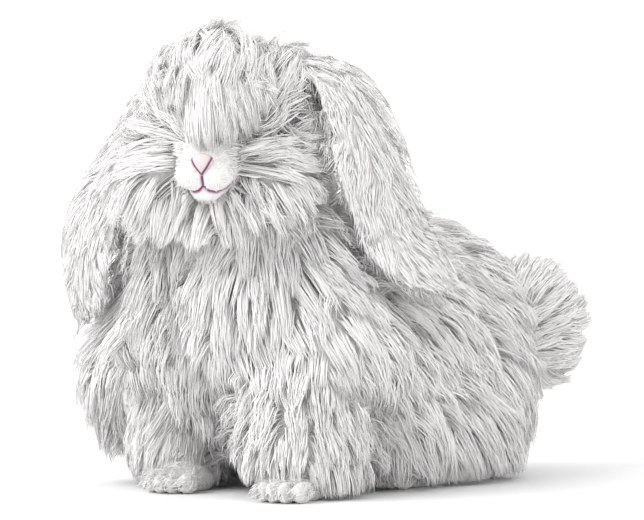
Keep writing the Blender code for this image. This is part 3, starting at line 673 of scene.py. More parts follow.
def add_ear(body, side, thickness, widen):
    """A hanging leaf with a shallow cup on the side that faces the cheek."""
    rings = []
    half_sides = 9
    for station in ear_stations(side, 30):
        half_width = max(station.half_width + widen, 0.003)
        half_thick = thickness / 2 * (0.45 + 0.55 * math.sin(math.pi * min(1, 0.25 + 0.75 * station.share)))
        cup = EAR_CUP * half_width
        ring = []
        for face_side in (1, -1):
            for k in range(half_sides):
                t = face_side * (-1 + 2 * (k + 0.5) / half_sides)
                height = face_side * half_thick * math.sqrt(1 - 0.85 * t * t) - cup * t * t
                ring.append(station.point + station.across * (t * half_width) + station.out * height)
        rings.append(ring)
    add_rings(body, rings)


# ---- The skin

def add_leg(body, side, layer):
    """A foreleg out to its core or its tips: a column with domed ends that widens to the foot."""
    leg = LEGS[side]
    top, foot = Vector(leg.top), Vector(leg.foot)
    top_reach, foot_reach = getattr(leg, layer + "_top"), getattr(leg, layer + "_foot")
    steps = 14
    for k in range(steps + 1):
        share = k / steps
        reach = top_reach + (foot_reach - top_reach) * share
        add_ellipsoid(body, top.lerp(foot, share), (reach,) * 3)


def toe_places(back, step):
    """Where the four toes of a paw or foot are, across it and along it."""
    return [((k - 1.5) * step, back - (MIDDLE_TOES_AHEAD if k in (1, 2) else 0)) for k in range(4)]


def add_toes(body, shape, step, placed):
    """Adds a paw's or foot's toes to a list of shapes."""
    (_, back, height), reach = shape
    for across, along in toe_places(back, step):
        add_ellipsoid(body, (across, along, height), reach, placed)


def paw_frame(side):
    """A forepaw's own frame in the model's."""
    return Matrix.Translation(Vector(PAW_PLACES[side])) @ Matrix.Rotation(PAW_TURN, 4, "Z")


def foot_frame(side):
    """A hind foot's own frame in the model's."""
    return Matrix.Translation(Vector(FOOT_PLACES[side]))


def toed_feet():
    """Each forepaw and hind foot: its frame, how far back its toes are, their reach, and their step."""
    for side in (1, -1):
        yield paw_frame(side), PAW_TOE[0][1], PAW_TOE[1], PAW_STEP
        yield foot_frame(side), FOOT_TOE[0][1], FOOT_TOE[1], FOOT_STEP


def flesh():
    """The whole animal under its coat, as one skin."""
    body = []
    for mass in (*BODY_MASSES, TAIL_MASS, TAIL_ROOT):
        add_ellipsoid(body, mass.centre, mass.core)
    for mass in HEAD_MASSES:
        add_ellipsoid(body, mass.centre, mass.core, HEAD)
    rings = []
    for back, half_width, top, bottom in HEAD_STATIONS:
        middle, half_height = (top + bottom) / 2, (top - bottom) / 2
        turns = [math.tau * k / 32 for k in range(32)]
        rings.append([
            HEAD @ Vector((half_width * math.cos(a), back, middle + half_height * math.sin(a))) for a in turns
        ])
    add_rings(body, rings)
    for side in (1, -1):
        add_ellipsoid(body, on_side(LIP_PAD[0], side), LIP_PAD[1], HEAD)
    add_ellipsoid(body, *CHIN, HEAD)
    for side in (1, -1):
        add_leg(body, side, "core")
        add_ear(body, side, EAR_FLESH_THICK, -EAR_COAT * 0.7)
        add_ellipsoid(body, on_side(EAR_ROOT[0], side), EAR_ROOT[1], HEAD)
        paw, foot = paw_frame(side), foot_frame(side)
        add_ellipsoid(body, *PALM, paw)
        add_toes(body, PAW_TOE, PAW_STEP, paw)
        add_ellipsoid(body, *HEEL, foot)
        add_ellipsoid(body, *SOLE, foot)
        add_toes(body, FOOT_TOE, FOOT_STEP, foot)
    return melt("skin", body, SKIN_GRID, 5)


def shell_tree(add_shapes):
    """A search tree over a smooth shell that the coat's tips reach."""
    body = []
    add_shapes(body)
    shell = melt("shell", body, SHELL_GRID, 4)
    tree = BVHTree.FromObject(shell, bpy.context.evaluated_depsgraph_get())
    bpy.data.objects.remove(shell)
    return tree


def coat_shells():
    """Where the coat's tips end, by region."""
    def trunk(body):
        for mass in BODY_MASSES:
            add_ellipsoid(body, mass.centre, mass.tips)
        for side in (1, -1):
            add_leg(body, side, "tips")

    def head(body):
        for mass in HEAD_MASSES:
            add_ellipsoid(body, mass.centre, mass.tips, HEAD)

    def tail(body):
        add_ellipsoid(body, TAIL_MASS.centre, TAIL_MASS.tips)
        add_ellipsoid(body, TAIL_ROOT.centre, TAIL_ROOT.tips)

    trees = {"trunk": shell_tree(trunk), "head": shell_tree(head), "tail": shell_tree(tail)}
    for word, side in SIDES.items():
        trees["ear_" + word] = shell_tree(lambda body: add_ear(body, side, EAR_FLESH_THICK + EAR_COAT, 0))
    return trees


def refine(skin):
    """Finer faces round the muzzle and the toes, so that the lips and the toes can be drawn in the skin."""
    spots = [(HEAD @ Vector((0, -0.056, -0.014)), 0.031, 2)]
    for side in (1, -1):
        spots.append((paw_frame(side) @ Vector((0, -0.018, 0.008)), 0.028, 1))
        spots.append((foot_frame(side) @ Vector((0, -0.046, 0.007)), 0.024, 1))
    body = bmesh.new()
    body.from_mesh(skin.data)
    for centre, reach, rounds in spots:
        for k in range(rounds):
            limit = reach - 0.003 * k
            near = [face for face in body.faces if (face.calc_center_median() - centre).length < limit]
            edges = list({edge for face in near for edge in face.edges})
            bmesh.ops.subdivide_edges(body, edges=edges, cuts=1, use_grid_fill=True, smooth=0.4)
    bmesh.ops.triangulate(body, faces=[face for face in body.faces if len(face.verts) > 4])
    body.to_mesh(skin.data)
    body.free()


def part_toes(skin):
    """Presses the clefts between the toes into the skin, and keeps the soles on the floor."""
    points, normals = vertex_rows(skin.data, "co"), vertex_rows(skin.data, "normal")
    pressed = points.copy()
    for placed, back, _, step in toed_feet():
        beside = to_frame(points, placed)
        clefts = np.abs(beside[:, :1] - step * np.array([-1, 0, 1])).min(axis=1)
        ahead = smooth_step(back + 0.010, back - 0.002, beside[:, 1]) * (beside[:, 1] > back - 0.03)
        near = (np.abs(beside[:, 0]) < step * 2.2) & (points[:, 2] < 0.024)
        depth = TOE_CLEFT_DEPTH * np.exp(-(clefts / TOE_CLEFT_WIDTH) ** 2) * ahead * near
        pressed -= normals * depth[:, None]
    pressed[:, 2] = np.maximum(pressed[:, 2], SKIN_LOWEST)
    set_points(skin.data, pressed)


def beside_line(places, line):
    """How far points of a plane lie from a line in it, and on which side of the line's nearest stretch.

    The side is over 0 to the left of the line's way and under 0 to its right.
    """
    best = np.full(len(places), 1.0)
    side = np.zeros(len(places))
    for a, b in zip(line, line[1:]):
        a, b = np.array(a), np.array(b)
        along = np.clip(((places - a) @ (b - a)) / ((b - a) @ (b - a)), 0, 1)
        gap = np.linalg.norm(places - (a + along[:, None] * (b - a)), axis=1)
        turn = (b - a)[0] * (places - a)[:, 1] - (b - a)[1] * (places - a)[:, 0]
        side = np.where(gap < best, np.sign(turn), side)
        best = np.minimum(best, gap)
    return best, side


def beside_leg(points, leg, least):
    """How far along a foreleg points lie, from the least share on, and how far from its middle line."""
    top, foot = np.array(leg.top), np.array(leg.foot)
    along = np.clip((points - top) @ (foot - top) / ((foot - top) @ (foot - top)), least, 1)
    return along, np.linalg.norm(points - (top + along[:, None] * (foot - top)), axis=1)


def leg_reach(leg, along):
    """How far a foreleg's coat reaches from its middle line."""
    return leg.tips_top + (leg.tips_foot - leg.tips_top) * along


def press_eye_hollows(skin):
    """Presses the flesh in at each eye, down to the bare head, so that the eye lies open."""
    points = vertex_rows(skin.data, "co")
    local = to_head(points)
    on_left = mirrored(local)
    turn = np.array(Matrix.Rotation(EYE_HOLLOW_TURN, 3, "Z"))
    beside = (on_left - np.array(EYE_HOLLOW)) @ turn
    share = (beside[:, 1] / EYE_HOLLOW_REACH[1]) ** 2 + (beside[:, 2] / EYE_HOLLOW_REACH[2]) ** 2
    floor = -EYE_HOLLOW_REACH[0] * np.sqrt(np.clip(1 - share, 0, 1))
    inside = (share < 1) & (beside[:, 0] > floor) & (on_left[:, 0] > 0.02)
    beside[:, 0] = np.where(inside, floor, beside[:, 0])
    hollow = beside @ turn.T + np.array(EYE_HOLLOW)
    hollow[:, 0] *= np.where(local[:, 0] < 0, -1, 1)
    moved = turned_from_head(hollow) + np.array(HEAD_CENTRE)
    set_points(skin.data, np.where(inside[:, None], moved, points))


def draw_lips(skin):
    """Presses the split lip and the mouth's line into the skin, and marks them."""
    points, normals = vertex_rows(skin.data, "co"), vertex_rows(skin.data, "normal")
    gap = lip_gap(points)
    in_front = smooth_step(-0.05, 0.20, -(normals @ HEAD_AXES)[:, 1])
    in_front *= 1 - smooth_step(*MOUTH_ENDS, np.abs(to_head(points)[:, 0]))
    groove = np.exp(-(gap / LIP_CLEFT_WIDTH) ** 2) * in_front
    set_points(skin.data, points - normals * (LIP_CLEFT_DEPTH * groove)[:, None])
    set_attribute(skin.data, "lip", np.clip(np.exp(-(gap / LIP_LINE_WIDTH) ** 2) * 1.25, 0, 1) * in_front)


# ---- The coat's regions

def ear_place(points, side):
    """The number of the ear's station nearest to each point, how far it is, and the station as arrays."""
    stations = [np.array(kind) for kind in zip(*ear_stations(side, 40))]
    gaps = np.linalg.norm(points[:, None] - stations[0][None], axis=2)
    nearest = gaps.argmin(axis=1)
    return nearest, gaps[np.arange(len(points)), nearest], Station(*[kind[nearest] for kind in stations])


Leaf = namedtuple("Leaf", "across height beyond half_width out")


def ear_leaf(points, side):
    """Where points lie by an ear: across it, over its cupped leaf's middle, and past its nearest station."""
    _, _, station = ear_place(points, side)
    apart = points - station.point
    aside = (apart * station.across).sum(axis=1)
    height = (apart * station.out).sum(axis=1) + EAR_CUP * aside ** 2 / station.half_width
    beyond = np.abs((apart * station.ahead).sum(axis=1))
    return Leaf(aside, height, beyond, station.half_width, station.out)


def region_of(points):
    """The name of the coat's region at each point of the skin."""
    region = np.full(len(points), "torso", dtype="U16")
    own_side = np.where(points[:, 0] > 0, 1, -1)
    region[in_ellipsoid(points, (0.002, -0.066, 0.174), (0.118, 0.092, 0.060)) < 1] = "neck"
    hind = in_ellipsoid(mirrored(points), (0.074, 0.098, 0.056), (0.056, 0.100, 0.086)) < 1
    for word, side in SIDES.items():
        _, gap = beside_leg(points, LEGS[side], 0.4)
        region[hind & (own_side == side)] = "hindleg_" + word
        region[(gap < LEGS[side].core_foot + 0.006) & (own_side == side)] = "foreleg_" + word
    region[in_ellipsoid(points, (0.036, 0.231, 0.104), (0.052, 0.050, 0.063)) < 1] = "tail"
    local = to_head(points)
    region[in_ellipsoid(local, (0, 0.004, 0.000), (0.084, 0.082, 0.068)) < 1] = "head"
    for word, side in SIDES.items():
        nearest, gap, station = ear_place(points, side)
        region[(gap / station.half_width < 1.15) & (nearest > 4)] = "ear_" + word
        beside = to_frame(points, paw_frame(side))
        on_paw = (np.abs(beside[:, 0]) < 0.021) & (beside[:, 1] < 0.004) & (beside[:, 1] > -0.04)
        region[on_paw & (beside[:, 2] < 0.021)] = "paws"
        foot = points - np.array(FOOT_PLACES[side])
        on_foot = (np.abs(foot[:, 0]) < 0.018) & (foot[:, 1] > -0.064) & (foot[:, 1] < 0.07)
        region[on_foot & (points[:, 2] < 0.017)] = "paws"
    return region


def on_forehead(points):
    """Where the forelock grows: over the brow, between the ears."""
    local = to_head(points)
    return (local[:, 2] > 0.030) & (np.abs(local[:, 0]) < 0.036) & (local[:, 1] < 0.010)


def lie_at(points, normals, region):
    """Which way the coat lies: away from the nose on the head, along the ears, else back and down."""
    if region == "head":
        local = to_head(points)
        fan = unit(rows(local[:, 0], 0.018, local[:, 2] + 0.012))
        fan[:, 2] += -0.30 + 0.85 * smooth_step(-0.004, 0.030, local[:, 2])
        nape = unit(rows(0.5 * np.sign(local[:, 0]), 0.3, -1.0))
        behind = smooth_step(0.012, 0.045, local[:, 1])[:, None]
        way = turned_from_head(unit(fan) * (1 - behind) + nape * behind)
    elif region.startswith("ear"):
        _, _, station = ear_place(points, SIDES[region.split("_")[1]])
        way = station.ahead + (points - station.point) * 14
    elif region == "tail":
        way = points - np.array(TAIL_MASS.centre) + np.array([0, 0.046, 0.020])
    elif region == "paws":
        way = np.full(points.shape, (0.0, -1.0, -0.35))
    elif region.startswith("foreleg"):
        way = rows(0.15 * np.clip(points[:, 0] / 0.03, -1, 1), -0.10, -1.0)
    else:
        behind = smooth_step(-0.10, 0.0, points[:, 1])
        outward = np.clip(points[:, 0] / 0.06, -1, 1) * (0.26 + 0.16 * behind)
        way = rows(outward, 0.15 + 0.40 * behind, -1.0)
    if region in ("torso", "neck"):
        gap, side = beside_line(points[:, [0, 2]], FOLDS[0])
        near = (points[:, 1] < -0.05) * np.exp(-(gap / 0.034) ** 2)
        beside = rows(np.where(side <= 0, -0.15, 0.04), 0.05, -1.0)
        way = unit(way) * (1 - near[:, None]) + beside * near[:, None]
    way = unit(way)
    return unit(way - normals * (way * normals).sum(axis=1, keepdims=True))


def eye_gap(local):
    """How far points in the head's frame lie from the middle of the nearer eye."""
    return np.linalg.norm(mirrored(local) - np.array(EYE_PLACE), axis=1)


def fullness(points, region):
    """From 0, where the coat is short as on the muzzle, to 1, where it has its full length."""
    if region != "head":
        return np.ones(len(points))
    local = to_head(points)
    return smooth_step(-0.0540, -0.036, local[:, 1]) * smooth_step(0.010, 0.017, eye_gap(local))


def on_lobe(points):
    """Where the chest's wool hangs before the right foreleg, down to its hem."""
    gap, side = beside_line(points[:, [0, 2]], FOLDS[1])
    return (side <= 0) & (gap < 0.045) & (points[:, 1] < -0.045) & (points[:, 0] < 0.030)


def edge_height(across, edge):
    """How high an edge of the wool lies, by how far across the head it is."""
    line = np.array(edge)
    return np.interp(across, line[:, 0], line[:, 1])


def mane_edge(local):
    """How high the lower edge of the head's wool lies in the model, at points in the head's frame."""
    return HEAD_CENTRE.z + edge_height(local[:, 0], MANE_EDGE)


def fold_depth(points, region):
    """How much of the coat's reach is left at each point: less beside a fold, a foreleg, the head or an ear."""
    left = np.ones(len(points))
    if region in ("head", "forelock", "tail", "paws") or region.startswith("ear"):
        return left
    front = points[:, 1] < -0.06
    for fold in FOLDS:
        gap, side = beside_line(points[:, [0, 2]], fold)
        beyond = side > 0
        left = np.minimum(left, 1 - FOLD_PRESSED * (beyond & front) * np.exp(-(gap / FOLD_WIDTH) ** 2))
        left = left + FOLD_SWELL * (~beyond & front) * np.exp(-(gap / FOLD_SWELL_WIDTH) ** 2)
    if not region.startswith("foreleg"):
        for side, leg in LEGS.items():
            along, gap = beside_leg(points, leg, 0.35)
            beside = np.maximum(gap - leg_reach(leg, along), 0)
            lower = smooth_step(0.36, 0.52, along) * (1 if side > 0 else ~on_lobe(points))
            left = np.minimum(left, 1 - LEG_PRESSED * lower * np.exp(-(beside / LEG_STRIP_WIDTH) ** 2))
    local = to_head(points)
    near_head = np.full(len(points), 9.0)
    for mass in HEAD_MASSES:
        near_head = np.minimum(near_head, in_ellipsoid(local, mass.centre, np.array(mass.tips) + 0.004))
    left = np.minimum(left, HEAD_LEFT + (1 - HEAD_LEFT) * smooth_step(1.0, 1.5, near_head))
    below = mane_edge(local) - points[:, 2]
    in_front = (local[:, 1] < 0.030) & (np.abs(local[:, 0]) < 0.085) & (below > -0.02)
    under = MANE_LEFT + (1 - MANE_LEFT) * smooth_step(0.003, 0.022, below)
    left = np.where(in_front, np.minimum(left, under), left)
    for side in (1, -1):
        leaf = ear_leaf(points, side)
        beside = np.maximum(np.abs(leaf.across) - leaf.half_width, 0) + np.maximum(leaf.beyond - 0.004, 0)
        under = np.exp(-(beside / EAR_STRIP_WIDTH) ** 2) * (leaf.height < 0.012) * (leaf.height > -0.040)
        left = np.minimum(left, 1 - EAR_PRESSED[side] * under)
    return left


def lip_gap(points):
    """How far points in front lie from the lips' lines."""
    local = to_head(points)
    place = np.stack([np.abs(local[:, 0]), local[:, 2]], axis=1)
    gap = np.minimum(beside_line(place, LIP_CLEFT)[0], beside_line(place, MOUTH_LINE)[0])
    return np.where(local[:, 1] < -0.034, gap, 1.0)


def bare_places(points, region):
    """Where no hair grows: the nose, the lips' line and the eyes."""
    if region != "head":
        return np.zeros(len(points), bool)
    local = to_head(points)
    on_nose = in_ellipsoid(local, NOSE_PLACE, np.array(NOSE_REACH) + 0.0008) < 1
    return (lip_gap(points) < 0.0014) | on_nose | (eye_gap(local) < 0.0112)


def scatter(skin_points, skin_normals, triangles, count, rng):
    """Points spread at random over triangles of the skin, with their normals."""
    corners = skin_points[triangles]
    areas = np.linalg.norm(np.cross(corners[:, 1] - corners[:, 0], corners[:, 2] - corners[:, 0]), axis=1)
    chosen = rng.choice(len(triangles), count, p=areas / areas.sum())
    a, b = np.sort(rng.random((2, count)), axis=0)
    weights = np.stack([a, b - a, 1 - b], axis=1)[:, :, None]
    points = (corners[chosen] * weights).sum(axis=1)
    normals = unit((skin_normals[triangles[chosen]] * weights).sum(axis=1))
    return points, normals


def spaced(points, spacing):
    """Which points to keep so that no two are closer than the spacing."""
    kept = np.empty((len(points), 3))
    chosen = []
    for i, point in enumerate(points):
        near = ((kept[:len(chosen)] - point) ** 2).sum(axis=1)
        if not chosen or near.min() > spacing[i] ** 2:
            kept[len(chosen)] = point
            chosen.append(i)
    return np.array(chosen)


# ---- Tufts

# A tuft's tone: lock differs at random from lock to lock; open is its painted shade in folds, 1 in the open and
# less in a fold.
Shade = namedtuple("Shade", "lock open")
Guides = namedtuple("Guides", "root normal bend tip out across reach")


def march(tree, place, out, way, far, hang):
    """Goes along a shell in short steps, straight on past a rim, and down where it hangs free."""
    for _ in range(4):
        place = place + way * (far / 4)
        nearest, beyond, _, _ = tree.find_nearest(place)
        if beyond.dot(out) < 0.35:
            continue
        if way.z < -0.3 and (place.z < hang.free or (beyond.z < -hang.under and place.z < hang.edge)):
            way = (way + Vector((0, 0, -0.8))).normalized()
            continue
        place, out = nearest, beyond
        way = (way - out * way.dot(out)).normalized()
    return place, out


def guide_locks(points, normals, region, coat, tree, rng):
    """The middle of each lock, as a curve that rises to the coat's reach and lies down along it."""
    full = fullness(points, region)
    pressed = fold_depth(points, region)
    lie = lie_at(points, normals, region)
    turn = rng.normal(0, STRAYING.get(region, PLAIN_STRAYING), len(points))[:, None]
    lie = lie * np.cos(turn) + np.cross(normals, lie) * np.sin(turn)
    length = coat.length * rng.uniform(0.78, 1.18, len(points)) * (0.14 + 0.86 * full) * (0.6 + 0.4 * pressed)
    if region in ("torso", "neck"):
        length *= 1 - 0.65 * smooth_step(0.35, 0.85, -normals[:, 2])
    hang = HANGS.get(region, PLAIN_HANG)
    bends, tips, outs, reaches = [], [], [], []
    crowns = smooth_step(0.030, 0.055, to_head(points)[:, 2]) * (region == "head")
    crowns *= np.where(rng.random(len(points)) < 0.35, 1.5, 0.3)
    for point, normal, way, far, whole, held, crown in zip(points, normals, lie, length, full, pressed, crowns):
        point, normal, way = Vector(point), Vector(normal), Vector(way)
        away = tree.ray_cast(point + normal * 0.0005, normal)[3]
        reach = min(max(away or 0.004, 0.0015), 0.032)
        reach = 0.0010 + (reach * held - 0.0010) * whole
        if region == "paws":
            reach, landing, out = 0.0018, point + way * far + normal * rng.uniform(0.0014, 0.0040), normal
        else:
            landing, out = march(tree, point + normal * reach * 0.8, normal, way, far, hang)
        if whole < 0.999:
            short_tip = point + way * far + normal * 0.0012
            landing = short_tip.lerp(landing, whole ** 1.5)
        proud = coat.proud * (1 + 1.4 * crown) * whole * held
        tip = landing + out * (proud * rng.uniform(-1, 1.5))
        tip.z -= 0.45 * max(0, tip.z - CROWN_HEIGHT)
        tips.append(tip)
        bends.append(point + normal * reach * 1.05 + way * far * 0.15)
        outs.append(out * whole + normal * (1 - whole))
        reaches.append(reach)
    return Guides(
        points, normals, np.array(bends), np.array(tips), unit(np.array(outs)), np.cross(lie, normals),
        np.array(reaches),
    )


def guide_forelock(points, normals, tree, skin_tree, rng):
    """Locks that spring from the brow and hang to the forelock's lower edge, layer over layer."""
    local = to_head(points)
    across = local[:, 0] * 1.25 + 0.005 + rng.normal(0, 0.003, len(points))
    across = np.clip(across, FORELOCK_EDGE[0][0], FORELOCK_EDGE[-1][0])
    lowest = edge_height(across, FORELOCK_EDGE)
    hang = rng.random(len(points)) ** 2.0
    height = lowest + (np.minimum(local[:, 2], 0.050) - lowest) * 0.55 * hang
    gather = across * (0.88 + 0.12 * hang)
    way = HEAD.to_3x3() @ Vector((0, 1, 0))
    bends, tips, outs = [], [], []
    for point, x, z, share in zip(points, gather, height, hang):
        start = HEAD @ Vector((x, -0.13, z))
        landing, out, _, far = tree.ray_cast(start, way)
        muzzle, muzzle_out, _, near = skin_tree.ray_cast(start, way)
        if near < far + 0.004:
            landing, out = muzzle - way * FORELOCK_CLEAR, muzzle_out
        tip = landing + out * (0.0015 + 0.004 * share)
        loose = Vector(rng.normal(0, 0.0022, 3))
        bulge = HEAD.to_3x3() @ (Vector((0, -0.012 - 0.006 * share, 0.013)) + loose)
        bends.append((Vector(point) + tip) / 2 + bulge)
        tips.append(tip)
        outs.append(out)
    across = unit(np.cross(unit(np.array(tips) - points), normals))
    return Guides(
        points, normals, np.array(bends), np.array(tips), np.array(outs), across, np.full(len(points), 0.016)
    )


def in_leg(points, margin, leg):
    """Which points lie within a foreleg's coat and the margin round it, in its lower part."""
    along, gap = beside_leg(points, leg, 0)
    return (along > 0.50) & (gap < leg_reach(leg, along) + margin)


def free_share(start, bend, tip, region, jitter, rng):
    """How much of each tuft ends over the hem and outside an ear and the mane's edge, and how much at all.

    Those that end at a fold or a foreleg's coat may run a little past it, so that no skin shows there.
    """
    free, in_coat, folded = np.ones((3, len(start)))  # how much is left by each kind of end
    hem = HEM_LOWEST + HEM_HEIGHT * rng.random(len(start))
    legs = region.startswith(("torso", "neck", "hindleg"))
    outer = not region.startswith(("ear", "tail", "paws", "foreleg"))
    front = region.startswith(("torso", "neck", "foreleg"))
    lower = [beside_line(start[:, [0, 2]], fold)[1] > 0 for fold in FOLDS]
    margin = rng.normal(0.0005, 0.0015, len(start))
    hangs = on_lobe(start)
    for share in np.linspace(1, 0.1, 16):
        at = on_curve(start, bend, tip, share)
        stops, passes = at[:, 2] < hem, np.zeros(len(start), bool)
        if legs:
            within = in_leg(at, margin, LEGS[1]) | (in_leg(at, margin, LEGS[-1]) & ~hangs)
            in_coat = np.where(within, share, in_coat)
        if front:
            for fold, on_left in zip(FOLDS, lower):
                gap, side = beside_line(at[:, [0, 2]], fold)
                low, over = (at[:, 1] < -0.05) & (gap < 0.04), side > 0
                passes |= low & np.where(on_left, ~over, over & (gap > 0.004 + margin))
        if region == "head":
            local = to_head(at)
            stops |= (at[:, 2] < mane_edge(local) + jitter) & (local[:, 1] < 0.030)
        if outer:
            for side in (1, -1):
                leaf = ear_leaf(at, side)
                within = (np.abs(leaf.across) < leaf.half_width + margin) & (leaf.beyond < 0.005)
                stops |= within & (np.abs(leaf.height) < 0.006) & (at[:, 2] < EAR_FREE)
        free = np.where(stops, share, free)
        folded = np.where(passes, share, folded)
    whole = np.minimum(np.maximum(in_coat, LEAST_IN_COAT), np.maximum(folded, LEAST_IN_FOLD))
    return free, np.minimum(free, whole)


def lifted_clear(points, skin_tree, least):
    """Points moved out of the skin, to the least height over it."""
    clear = points.copy()
    for i, (point, height) in enumerate(zip(points, least)):
        place, out, _, _ = skin_tree.find_nearest(point)
        over = (Vector(point) - place).dot(out)
        if over < height:
            clear[i] = Vector(point) + out * (height - over)
    return clear


def keep_side(path, start, side):
    """An ear's tufts held on the face of the leaf that they grow from."""
    count, stops = path.shape[:2]
    face = np.sign(ear_leaf(start, side).height)
    leaf = ear_leaf(path.reshape(-1, 3), side)
    face = np.repeat(face, stops)
    within = np.abs(leaf.across) < leaf.half_width - 0.001
    short = np.where(within, np.maximum(0.0035 - face * leaf.height, 0), 0)
    moved = path.reshape(-1, 3) + leaf.out * (face * short)[:, None]
    kept = moved.reshape(count, stops, 3)
    kept[:, 0] = path[:, 0]
    return kept


def tufts(guides, points, normals, full, region, coat, skin_tree, rng):
    """Each tuft's path, sides and shade, following its lock's middle and gathering towards its tip."""
    tree = KDTree(len(guides.root))
    keys = guides.root + guides.normal * 0.012
    for i, key in enumerate(keys):
        tree.insert(key, i)
    tree.balance()
    own = np.array([tree.find(key)[1] for key in points + normals * 0.012])
    offset = points - guides.root[own]
    aside = np.linalg.norm(offset, axis=1) / coat.spacing
    loose = 1 - coat.gather * rng.uniform(0.6, 1.25, len(points))
    wild = rng.random(len(points)) < 0.05
    stray = rng.normal(0, 1, (len(points), 3)) * (0.0010 + 0.0026 * wild)[:, None] * full[:, None]
    start = points - normals * 0.0006
    bend = guides.bend[own] + offset * 0.95 + stray * 0.5
    tip = guides.tip[own] + offset * loose[:, None] + stray
    deep = rng.random(len(points)) ** 1.6
    tip -= guides.out[own] * (deep * 0.45 * guides.reach[own] * full)[:, None]
    shortest = 0.92 if region == "forelock" else 0.80
    aside = np.clip(aside, 0, 1.2) ** 2
    cut = rng.uniform(shortest, 1.05, len(points)) * (1 - 0.16 * aside)
    # fold_depth presses the bends and tips in, and also gives the painted shade of the wool in the folds.
    open_root, open_bend, open_tip = (fold_depth(at, region) for at in (points, bend, tip))
    bend -= guides.out[own] * ((1 - open_bend) * 0.011)[:, None]
    tip -= guides.out[own] * ((1 - open_tip) * 0.014)[:, None]
    lift = 0.0012 + 0.0030 * full * rng.random(len(points))
    bend = lifted_clear(bend, skin_tree, lift + 0.0010 * full)
    tip = lifted_clear(tip, skin_tree, lift)
    if region == "head":
        cut *= 0.30 + 0.70 * smooth_step(0.001, 0.0065, lip_gap(points))
    jitter = rng.normal(0, 0.0030, len(guides.root))[own] + 0.0045 * aside
    free, whole = free_share(start, bend, tip, region, jitter, rng)
    cut = np.minimum(cut, whole)
    across = guides.across[own]
    wave = rng.uniform(0, math.tau, len(points))
    # The painted shade in folds is followed ring by ring along each tuft.
    rings, painted_shade_rings = [], []
    for share in (FINE_RINGS if region in ("head", "forelock") else PLAIN_RINGS).shares:
        middle = on_curve(start, bend, tip, (share * cut)[:, None])
        painted_shade_rings.append(on_curve(open_root, open_bend, open_tip, share * cut))
        sway = np.sin(wave + 7.5 * share) * coat.wave * share * full
        lift = np.cos(wave * 1.7 + 6.0 * share) * coat.wave * 0.6 * share * full
        rings.append(middle + across * sway[:, None] + guides.out[own] * lift[:, None])
    path = np.stack(rings, axis=1)
    if region.startswith("ear"):
        path = keep_side(path, points + normals * 0.002, SIDES[region.split("_")[1]])
    path[:, :, 2] = np.maximum(path[:, :, 2], COAT_LOWEST)
    lock_shade = rng.random(len(guides.root))[own] * 0.5 + rng.random(len(points)) * 0.5
    shade = Shade(lock_shade, np.stack(painted_shade_rings, axis=1))
    return path, across, shade, guides.out[own], free > 0.25


def skin_patch(points, normals):
    """Each root's place on an unwrap of the skin by the six ways that it can face."""
    axis = np.abs(normals).argmax(axis=1)
    faces_up = normals[np.arange(len(normals)), axis] > 0
    across = np.where(axis == 0, points[:, 1], points[:, 0])
    up = np.where(axis == 2, points[:, 1], points[:, 2])
    cell = axis * 2 + faces_up
    u = (cell % 3 + 0.5 + across * 0.9 / 0.46) / 3
    v = (cell // 3 + 0.5 + (up - np.where(axis == 2, 0.06, 0.16)) * 0.9 / 0.46) / 2
    return np.stack([np.clip(u, 0.003, 0.997), np.clip(v, 0.003, 0.997)], axis=1)


def tuft_faces(rings):
    """The triangles of one tuft: its three sides ring after ring, its tip and its root."""
    faces = []
    for r in range(rings - 1):
        for k in range(3):
            here, after = r * 3 + k, r * 3 + (k + 1) % 3
            faces += [(here, after, after + 3), (here, after + 3, here + 3)]
    last = (rings - 1) * 3
    return np.array(faces + [(last + k, last + (k + 1) % 3, rings * 3) for k in range(3)] + [(2, 1, 0)])


